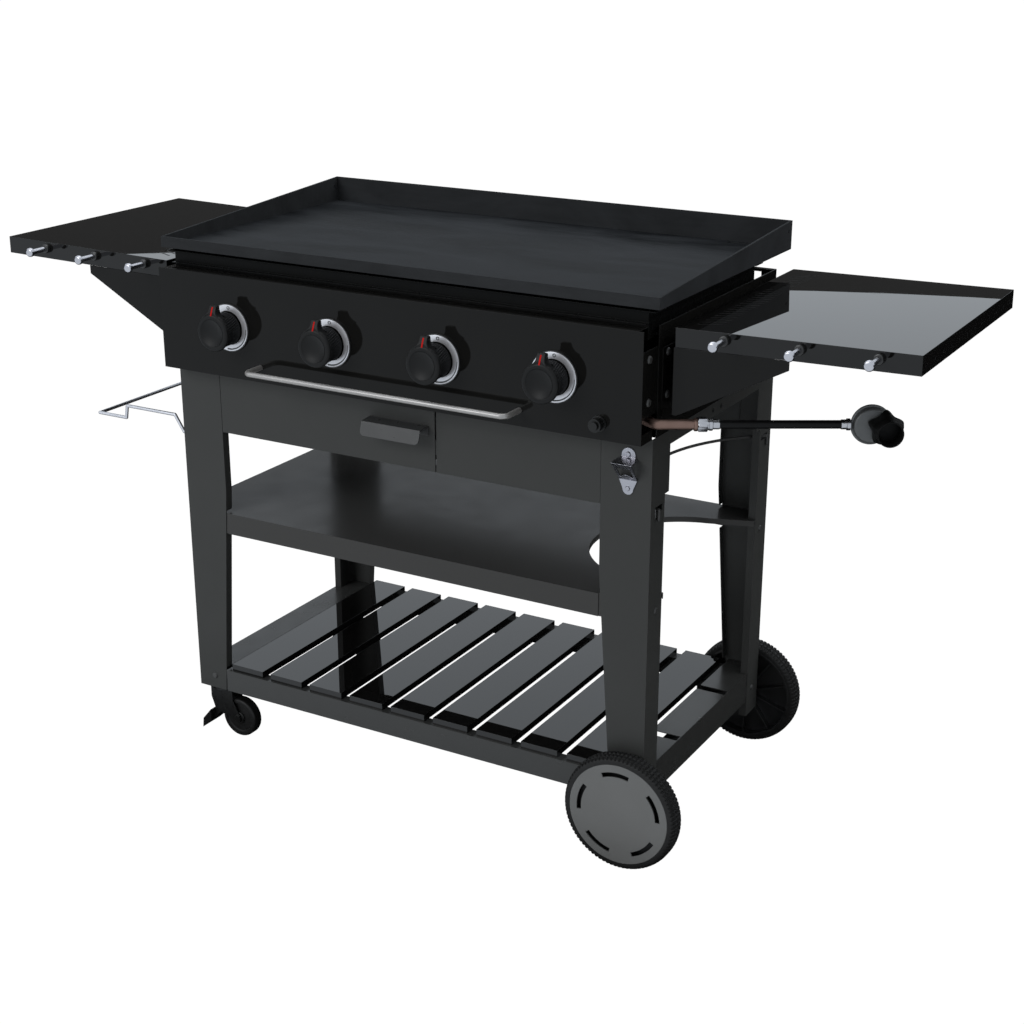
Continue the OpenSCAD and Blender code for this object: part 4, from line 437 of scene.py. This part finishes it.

# The firebox under the plate: a tub of black enamelled steel with a raised collar, with four tube
# burners of plain steel in it, fed by the manifold and its four brass valves.
# Its lighter edge colour is partly wear and partly a painted highlight along the edges.
box_enamel = coating("box_enamel", (0.0035, 0.0038, 0.0038), (0.0055, 0.0058, 0.0058), (0.22, 0.30),
                     patch=10, grain=300, depth=0.000002, edge=0.0012, wear_and_highlight=(0.02, 0.021, 0.021),
                     Specular_IOR_Level=0.06)
dress(box_enamel, "firebox")
burner_steel = coating("burner_steel", (0.30, 0.28, 0.26), (0.46, 0.45, 0.44), (0.34, 0.55), patch=14,
                       grain=700, depth=0.00005, Metallic=1.0)
dress(burner_steel, "burners", "gas_manifold", "valve_stem_1", "valve_stem_2", "valve_stem_3",
      "valve_stem_4")
valve_brass = coating("valve_brass", (0.55, 0.40, 0.16), (0.68, 0.52, 0.24), (0.28, 0.42), patch=30,
                      grain=900, depth=0.00004, edge=0.0006, Metallic=1.0)
dress(valve_brass, "gas_valves")

# The griddle plate: thick carbon steel with welded walls, seasoned with oil. The seasoning dries in
# wiped streaks and clouds, bluish grey on near black, and faces that stand upright are a lighter grey than
# the level top.
seasoned_steel = bpy.data.materials.new("seasoned_steel")
seasoned_steel.use_nodes = True
tree = seasoned_steel.node_tree
skin = tree.nodes["Principled BSDF"]
place = add_node(tree, "TexCoord").outputs["Object"]
stretched = add_node(tree, "Mapping", {"Vector": place, "Scale": (1.0, 2.6, 1.6),
                                       "Rotation": (0, 0, 0.35)})
clouds = add_node(tree, "TexNoise", {"Vector": stretched.outputs[0], "Scale": 3.4, "Detail": 9,
                                     "Roughness": 0.62, "Distortion": 0.8})
streaks = add_node(tree, "Mapping", {"Vector": place, "Scale": (3.0, 60.0, 20.0)})
wiped = add_node(tree, "TexNoise", {"Vector": streaks.outputs[0], "Scale": 4.0, "Detail": 5,
                                    "Roughness": 0.7})
both = add_node(tree, "Mix", {0: 0.28, 2: clouds.outputs["Fac"], 3: wiped.outputs["Fac"]})
oil = add_node(tree, "ValToRGB", {0: both.outputs[0]})
oil.color_ramp.elements[0].position = 0.38
oil.color_ramp.elements[0].color = (0.0075, 0.0084, 0.0094, 1)
oil.color_ramp.elements[1].position = 0.64
oil.color_ramp.elements[1].color = (0.0330, 0.0360, 0.0400, 1)
dry = add_node(tree, "MapRange", {0: both.outputs[0], 1: 0.35, 2: 0.65, 3: 0.40, 4: 0.60})
pits = add_node(tree, "TexNoise", {"Vector": place, "Scale": 420, "Detail": 3})
relief = add_node(tree, "Mix", {0: 0.5, 2: pits.outputs["Fac"], 3: wiped.outputs["Fac"]})
rounded = add_node(tree, "Bevel", {"Radius": 0.0012}, samples=4)
bump = add_node(tree, "Bump", {"Height": relief.outputs[0], "Distance": 0.00012,
                               "Normal": rounded.outputs[0]})
# Faces that stand upright, and the rounded edges, are mixed towards a lighter grey than the level top.
facing = add_node(tree, "SeparateXYZ", {0: add_node(tree, "NewGeometry").outputs["Normal"]}).outputs["Z"]
level_share = add_node(tree, "Math", {0: facing}, operation="ABSOLUTE")
upright_lightening = add_node(tree, "MapRange", {0: level_share.outputs[0], 1: 0.9, 2: 0.4, 3: 0.0, 4: 0.4})
steel = add_node(tree, "Mix", {0: upright_lightening.outputs[0], 6: oil.outputs["Color"], 7: (0.062, 0.066, 0.071, 1)},
                 data_type="RGBA")
tree.links.new(steel.outputs[2], skin.inputs["Base Color"])
tree.links.new(dry.outputs[0], skin.inputs["Roughness"])
tree.links.new(bump.outputs[0], skin.inputs["Normal"])
skin.inputs["Specular IOR Level"].default_value = 0.02
dress(seasoned_steel, "griddle_plate")

# The four knobs: moulded black plastic, each with a dished face, a knurled grip that narrows to the
# back, and a leaning pointer lug with a red line. A domed chrome bezel lies behind each, printed with
# the off mark and the arc that widens with the flame. The knobs push in and turn on the valve stems.
knob_plastic = coating("knob_plastic", (0.0082, 0.0085, 0.0088), (0.0100, 0.0104, 0.0107), (0.40, 0.46),
                       patch=30, grain=1500, depth=0.000004, Specular_IOR_Level=0.15)
pointer_red = coating("pointer_red", (0.50, 0.004, 0.002), (0.58, 0.006, 0.003), (0.40, 0.50),
                      patch=200, grain=2500, depth=0.000002, Specular_IOR_Level=0.08)
bezel_chrome = coating("bezel_chrome", (0.70, 0.71, 0.75), (0.76, 0.77, 0.81), (0.28, 0.34),
                       patch=20, grain=300, depth=0.0000008, Metallic=0.5)
bezel_black = coating("bezel_black", (0.008, 0.008, 0.008), (0.014, 0.014, 0.014), (0.28, 0.38),
                      patch=30, grain=1500, depth=0.00002)
knob_ribs = 46
grip_front = 0.0075
grip_back = 0.0405
grip_radius = 0.0292
lug_depth = 0.0158
lug_gap = 0.00015
lean = 0.007
lean_reach = 0.0150
bezel_in = 0.0283
bezel_out = 0.0395
off_radius = 0.0345
flame_radius = 0.0372


def knurl(radius, along, turn):
    """Slanted ribs on the grip: radius - depth x (1 - cos(ribs x angle + slant x place)) / 2, where the
    grip lies between the flange and the back."""
    grip = np.clip((along - 0.0085) / 0.001, 0, 1) * np.clip((0.0400 - along) / 0.001, 0, 1)
    return radius - grip * 0.0018 * (0.5 - 0.5 * np.cos(knob_ribs * turn + 420 * along))


def slab(outline, origin, across, over, depth, edge=0.0008):
    """A flat outline of (across, over) with rounded edges and its thickness away from the viewer along
    across x over. Each ring of points is the outline, drawn in by the edge's round towards its inside."""
    outline = np.asarray(outline, float)
    along = np.roll(outline, -1, 0) - np.roll(outline, 1, 0)
    outward = unit(np.stack([along[:, 1], -along[:, 0]], 1))
    turn = np.radians([90, 60, 30, 0])
    drawn_in = edge * (1 - np.cos(turn))
    sunk = edge * (1 - np.sin(turn))
    drawn_in = np.concatenate([drawn_in, drawn_in[::-1]])
    sunk = np.concatenate([sunk, depth - sunk[::-1]])
    away = -np.cross(across, over)
    flat = outline[None] - drawn_in[:, None, None] * outward[None]
    rings = (np.asarray(origin, float) + flat[..., :1] * np.asarray(across, float)
             + flat[..., 1:] * np.asarray(over, float) + sunk[:, None, None] * away)
    close = np.repeat(rings.mean(1, keepdims=True), len(outline), 1)
    return np.concatenate([close[:1], rings, close[-1:]])


def leant(grid, origin):
    """The grid with its front leant back above origin: a point moves along +y by lean x its share of
    lean_reach above origin, less the nearer it lies to the lug's back."""
    leaning = grid.copy()
    rise = np.clip((grid[..., 2] - origin[2]) / lean_reach, 0, 1.2)
    leaning[..., 1] += lean * rise * (1 - np.clip((grid[..., 1] - origin[1]) / lug_depth, 0, 1))
    return leaning


def crown_height(radius):
    """How far the bezel's domed face stands off the panel at a radius."""
    return 0.0046 - 0.0005 * ((radius - 0.0335) / 0.0055) ** 2


panel_face = corners("knob_bezels")[1][1]
for number in "1234":
    low, high = corners("knob_" + number)
    radius = (high[0] - low[0]) / 2
    centre = np.array([(low[0] + high[0]) / 2, low[1] + 0.0002, low[2] + radius])
    body = "dial_" + number
    face = np.stack([np.linspace(0, 0.0226, 18), 0.0048 * (1 - np.linspace(0, 1, 18) ** 2.4)], 1)
    flange = np.vstack([arc((0.0240, 0.0016), 0.0016, -150, -90, 4),
                        arc((radius - 0.0046, 0.0046), 0.0046, -90, 0, 10),
                        [[radius, 0.0058], [radius - 0.0006, 0.0068], [grip_radius, 0.0072]]])
    grip_place = np.linspace(grip_front, grip_back, 34)
    grip = np.stack([grip_radius - 0.0018 * (grip_place - grip_front) / 0.033, grip_place], 1)
    back = np.array([[0.0270, 0.0413], [0.0, 0.0413]])
    knob_body = turned(np.vstack([face, flange, grip, back]), centre, (0, 1, 0), knob_ribs * 8, knurl)
    rise = np.linspace(0, 1, 14)
    half_width = 0.0071 + 0.0115 * (1 - rise) ** 2.8
    height = 0.0245 + 0.0180 * rise
    flank = np.stack([half_width, height], 1)
    tip = arc((0.0048, 0.0427), 0.0023, 0, 90, 6)
    lug = np.vstack([flank, tip, (tip * [-1, 1])[::-1], (flank * [-1, 1])[::-1]])
    lean_from = centre + [0, lug_gap, 0.0300]
    lug_slab = slab(lug, centre + [0, lug_gap, 0], (1, 0, 0), (0, 0, 1), lug_depth, 0.0012)
    lug_grid = leant(lug_slab, lean_from)
    knob = piece("knob_grip_" + number, body, knob_plastic, "knob_plastic", knob_body, lug_grid)
    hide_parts("knob_" + number)
    mark = [[-0.0014, 0.0290], [0.0014, 0.0290], [0.0014, 0.0365], [0.0014, 0.0432], [-0.0014, 0.0432],
            [-0.0014, 0.0365]]
    piece("knob_pointer_" + number, body, pointer_red, "knob_plastic",
          leant(slab(mark, centre, (1, 0, 0), (0, 0, 1), 0.0006, 0.0001), lean_from))
    seat = np.array([centre[0], panel_face, centre[2]])
    dome = np.linspace(0.0288, 0.0393, 16)
    ring = np.vstack([[[bezel_in, 0.0]], [[bezel_in, 0.0026]], np.stack([dome, crown_height(dome)], 1),
                      [[bezel_out, 0.0022], [bezel_out, 0.0], [bezel_in, 0.0]]])
    rim = np.vstack([[[0.0394, 0.0]], [[0.0394, 0.0031]], arc((0.0402, 0.0031), 0.0008, 180, 0, 6),
                     [[0.0410, 0.0], [0.0394, 0.0]]])
    bezel = piece("knob_bezel_" + number, "cart", bezel_chrome, "bright_chrome",
                  turned(ring, seat, (0, -1, 0), 128))
    if number == "1":
        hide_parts("knob_bezels")
    piece("bezel_rim_" + number, "cart", bezel_black, "bright_chrome", turned(rim, seat, (0, -1, 0), 128))
    off = np.array([off_radius * math.sin(0.06), -crown_height(off_radius) - 0.0003,
                    off_radius * math.cos(0.06)])
    circle = np.linspace(0, 2 * math.pi, 33)
    off_path = seat + off + 0.0023 * np.stack([np.cos(circle), 0 * circle, np.sin(circle)], 1)
    piece("bezel_off_mark_" + number, "cart", bezel_black, "bright_chrome",
          tube(off_path, 0.00052, 10, up=(0, 1, 0)))
    sweep = np.linspace(math.radians(88), math.radians(186), 40)
    width = 0.0009 + 0.0018 * np.linspace(0, 1, 40)
    across = np.array([0, 0.25, 0.5, 0.75, 1, 1, 0.75, 0.5, 0.25, 0])
    lift = np.repeat([0.00006, -0.0004], 5)
    arc_radius = flame_radius - (1 - across)[None] * width[:, None]
    flame = np.stack([seat[0] + arc_radius * np.sin(sweep)[:, None],
                      seat[1] - crown_height(arc_radius) - lift[None],
                      seat[2] + arc_radius * np.cos(sweep)[:, None]], -1)
    flame = np.concatenate([np.repeat(flame[:1].mean(1, keepdims=True), 10, 1), flame,
                            np.repeat(flame[-1:].mean(1, keepdims=True), 10, 1)])
    piece("bezel_flame_mark_" + number, "cart", bezel_black, "bright_chrome", flame)

# The igniter under the right end of the panel, a black plastic push button in its collar, and the
# towel bar, a bent rod of brushed stainless steel bolted through the panel.
button_plastic = coating("button_plastic", (0.005, 0.005, 0.005), (0.008, 0.008, 0.008), (0.25, 0.36),
                         patch=60, grain=1600, depth=0.000004, edge=0.0007, Specular_IOR_Level=0.3)
dress(button_plastic, "igniter_housing", "igniter_button")
brushed_steel = coating("brushed_steel", (0.33, 0.325, 0.32), (0.38, 0.375, 0.37), (0.30, 0.36), patch=20,
                        grain=300, depth=0.0000015, Metallic=0.4)
bar_low, bar_high = corners("towel_bar")
bar_radius = 0.0045
bar_bend = 0.012
bar_out = bar_low[1] + bar_radius
bar_end = bar_high[0] - 0.0075
bar_level = (bar_low[2] + bar_high[2]) / 2
elbow = arc((bar_end - bar_bend, bar_out + bar_bend), bar_bend, 0, -90, 13)
right_half = np.vstack([[[bar_end, bar_high[1] - 0.0005]], elbow])
bar_flat = np.vstack([right_half, (right_half * [-1, 1])[::-1]])
bar_path = np.column_stack([bar_flat, np.full(len(bar_flat), bar_level)])
towel_rod = piece("towel_bar_rod", "cart", brushed_steel, "bright_chrome", tube(bar_path, bar_radius, 32))
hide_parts("towel_bar")

# The side shelves: folded trays of glossy black enamelled steel with slanted vents beside the body,
# each carried by two triangular arms. Their top mirrors the pale room and the dark cloth.
shelf_enamel = coating("shelf_enamel", (0.0055, 0.0055, 0.0055), (0.0070, 0.0070, 0.0070), (0.0, 0.012),
                       patch=5, grain=40, depth=0.0000002, edge=0.0007, Specular_IOR_Level=0.31)
dress(shelf_enamel, "left_shelf", "right_shelf")
dress(panel_enamel, "shelf_brackets")

# Six tool hooks on the front skirts: a chromed pin with a flat domed head, screwed into a black
# plastic collar.
hook_chrome = coating("hook_chrome", (0.40, 0.40, 0.43), (0.50, 0.50, 0.53), (0.18, 0.28), patch=60,
                      grain=300, depth=0.0000008, Metallic=1.0)
hook_low, hook_high = corners("tool_hooks")
hook_seat_y = hook_high[1]
hook_length = hook_seat_y - hook_low[1]
hook_drop = 0.0115
skirt_start = 0.4819
skirt_run = 0.3698
skirt_top = 0.9001
shelf_rise = math.tan(math.radians(0.945))
pins, collars = [], []
for side, shares in ((1, (0.211, 0.523, 0.836)), (-1, (0.133, 0.441, 0.752))):
    for share in shares:
        run = share * skirt_run
        centre = np.array([side * (skirt_start + run), hook_seat_y,
                           skirt_top + shelf_rise * run - hook_drop])
        head = arc((0.0045, hook_length - 0.0035), 0.0035, 0, 90, 7)
        pin = np.vstack([[[0.0, 0.0072]], [[0.0045, 0.0072]], [[0.0045, hook_length - 0.0080]],
                         [[0.0062, hook_length - 0.0080]],
                         arc((0.0062, hook_length - 0.0062), 0.0018, -90, 0, 5),
                         [[0.0080, hook_length - 0.0035]], head, [[0.0, hook_length]]])
        collar = np.vstack([[[0.0, 0.0]], [[0.0080, 0.0]], [[0.0080, 0.0058]],
                            arc((0.0060, 0.0058), 0.0020, 0, 90, 5), [[0.0, 0.0078]]])
        pins.append(turned(pin, centre, (0, -1, 0), 40))
        collars.append(turned(collar, centre, (0, -1, 0), 40))
hook_pins = piece("tool_hook_pins", "cart", hook_chrome, "bright_chrome", *pins)
piece("tool_hook_collars", "cart", bezel_black, "bright_chrome", *collars)
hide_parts("tool_hooks")

# The gas line: a copper pipe from the manifold, bent round behind the panel's end, a hexagon nut and a
# crimped ferrule, and at the hose's far end the regulator with its lobed handwheel, which screws onto
# the bottle.
run_turn = math.radians(30)
disc_at = 0.3216
mouth_at = 0.0184
run_way = unit([math.cos(run_turn), math.sin(run_turn), 0])
mouth_way = unit([math.sin(run_turn), -math.cos(run_turn), 0])
bend = np.array([0.4620, 0.033 - row_shift, 0.7537])
copper_skin = coating("copper_skin", (0.16, 0.105, 0.085), (0.22, 0.145, 0.12), (0.42, 0.55), patch=16,
                      grain=600, depth=0.00001, Metallic=1.0)
dress(copper_skin, "supply_pipe")
flare = np.vstack([[[0.0088, 0.0575]], arc((0.0090, 0.0587), 0.0012, -90, 0, 5), [[0.0102, 0.0610]],
                   arc((0.0092, 0.0622), 0.0010, 0, 90, 5), [[0.0088, 0.0632]], [[0.0088, 0.0575]]])
piece("supply_pipe_flare", "cart", copper_skin, "copper_pipe", turned(flare, bend, run_way, 64))


def hexagon(radius, along, turn):
    """The radius of a hexagon nut: its flat's distance / cos(angle from the flat's middle), but no more
    than the turned corner's radius."""
    flat = 0.0100 / np.cos((turn + math.pi / 6) % (math.pi / 3) - math.pi / 6)
    return np.where(radius > 0.0096, np.minimum(radius, flat), radius)


fitting_steel = coating("fitting_steel", (0.36, 0.36, 0.38), (0.46, 0.46, 0.48), (0.22, 0.34), patch=60,
                        grain=300, depth=0.000001, Metallic=1.0)
pipe_nut = np.array([[0.0, 0.0635], [0.0098, 0.0635], [0.0115, 0.0645], [0.0115, 0.0770],
                     [0.0098, 0.0780], [0.0086, 0.0782], [0.0086, 0.0800], [0.0094, 0.0805],
                     [0.0094, 0.0850], [0.0086, 0.0856], [0.0075, 0.0860], [0.0073, 0.0876],
                     [0.0075, 0.0882], [0.0073, 0.0905], [0.0075, 0.0911], [0.0073, 0.0935],
                     [0.0075, 0.0942], [0.0072, 0.0957], [0.0, 0.0957]])
far_nut = np.array([[0.0, 0.2767], [0.0072, 0.2767], [0.0075, 0.2778], [0.0073, 0.2800],
                    [0.0075, 0.2812], [0.0073, 0.2842], [0.0082, 0.2846], [0.0090, 0.2852],
                    [0.0090, 0.2900], [0.0084, 0.2904], [0.0, 0.2904]])
nuts = piece("gas_line_nuts", "cart", fitting_steel, "bright_chrome",
             turned(pipe_nut, bend, run_way, 96, hexagon), turned(far_nut, bend, run_way, 48))
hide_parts("hose_fittings")

regulator_zinc = coating("regulator_zinc", (0.085, 0.090, 0.093), (0.105, 0.111, 0.115), (0.36, 0.46),
                         patch=26, grain=600, depth=0.00001, Metallic=0.2)
disc_centre = bend + disc_at * run_way
mouth_centre = disc_centre + mouth_at * run_way
disc = np.vstack([[[0.0, -0.0118]], [[0.0100, -0.0118]], [[0.0112, -0.0108]], [[0.0215, -0.0100]],
                  arc((0.0225, -0.0060), 0.0035, -80, -10, 5), [[0.0272, -0.0032]],
                  arc((0.0296, -0.0008), 0.0014, -90, 0, 4), arc((0.0296, 0.0010), 0.0014, 0, 90, 4),
                  [[0.0285, 0.0028]], arc((0.0230, 0.0070), 0.0040, 0, 80, 6), [[0.0200, 0.0112]],
                  [[0.0185, 0.0117]], [[0.0, 0.0118]]])
spigot = np.array([[0.0, 0.0100], [0.0090, 0.0100], [0.0090, 0.0205], [0.0, 0.0205]])
regulator = piece("regulator_disc", "cart", regulator_zinc, "regulator_alloy",
                  turned(disc, disc_centre, mouth_way, 96),
                  turned(spigot, mouth_centre, mouth_way, 48))
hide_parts("regulator_body")


def lobes(radius, along, turn):
    """Five corners on the grip: radius + corner height x (1 - |sin(2.5 x angle)| to the 1.3), fading
    evenly towards the round mouth and to nothing inside it."""
    grip = np.clip((along - 0.0122) / 0.002, 0, 1) * np.clip((0.0500 - along) / 0.032, 0, 1)
    outside = radius > 0.0185
    corner = 1 - np.abs(np.sin(2.5 * turn)) ** 1.3
    return radius + outside * grip * (0.0068 * corner)


grip_black = coating("grip_black", (0.0035, 0.0035, 0.0035), (0.0055, 0.0055, 0.0055), (0.40, 0.50),
                     patch=40, grain=1300, depth=0.00001, Specular_IOR_Level=0.10)
wheel_profile = np.vstack([
    [[0.0, 0.0216]], [[0.0091, 0.0216]], [[0.0091, 0.0124]], [[0.0190, 0.0124]], [[0.0200, 0.0132]],
    np.stack([np.full(9, 0.0207), np.linspace(0.0150, 0.0340, 9)], 1), [[0.0203, 0.0370]],
    [[0.0199, 0.0400]], [[0.0197, 0.0430]], [[0.0197, 0.0520]],
    arc((0.0186, 0.0535), 0.0011, 0, 180, 7), [[0.0168, 0.0520]], [[0.0168, 0.0295]], [[0.0, 0.0295]]])
handwheel = piece("handwheel_grip", "connector_wheel", grip_black, "black_plastic",
                  turned(wheel_profile, mouth_centre, mouth_way, 160, lobes))
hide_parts("regulator_handwheel")

# The small hardware: a stamped and chromed bottle opener screwed to the right leg, the zinc wire that
# holds a rubbish bag at the left, the black wire across the bottle's bay, and the aluminium cup that
# hangs behind the plate's drain.
opener_chrome = coating("opener_chrome", (0.30, 0.30, 0.33), (0.40, 0.40, 0.43), (0.20, 0.30), patch=40,
                        grain=300, depth=0.000001, edge=0.0009, Metallic=1.0)
dress(opener_chrome, "bottle_opener")
zinc_wire = coating("zinc_wire", (0.50, 0.50, 0.53), (0.62, 0.62, 0.65), (0.26, 0.36), patch=40,
                    grain=300, depth=0.000001, Metallic=1.0)
dress(zinc_wire, "trash_bag_wire")
wire_grey = coating("wire_grey", (0.045, 0.046, 0.046), (0.060, 0.061, 0.061), (0.30, 0.42), patch=30,
                    grain=600, depth=0.00001, edge=0.0005, Specular_IOR_Level=0.4)
dress(wire_grey, "tank_wire", "fasteners")
cup_aluminium = coating("cup_aluminium", (0.52, 0.53, 0.54), (0.66, 0.67, 0.68), (0.30, 0.45), patch=18,
                        grain=900, depth=0.00005, edge=0.0007, Metallic=1.0)
dress(cup_aluminium, "grease_cup")
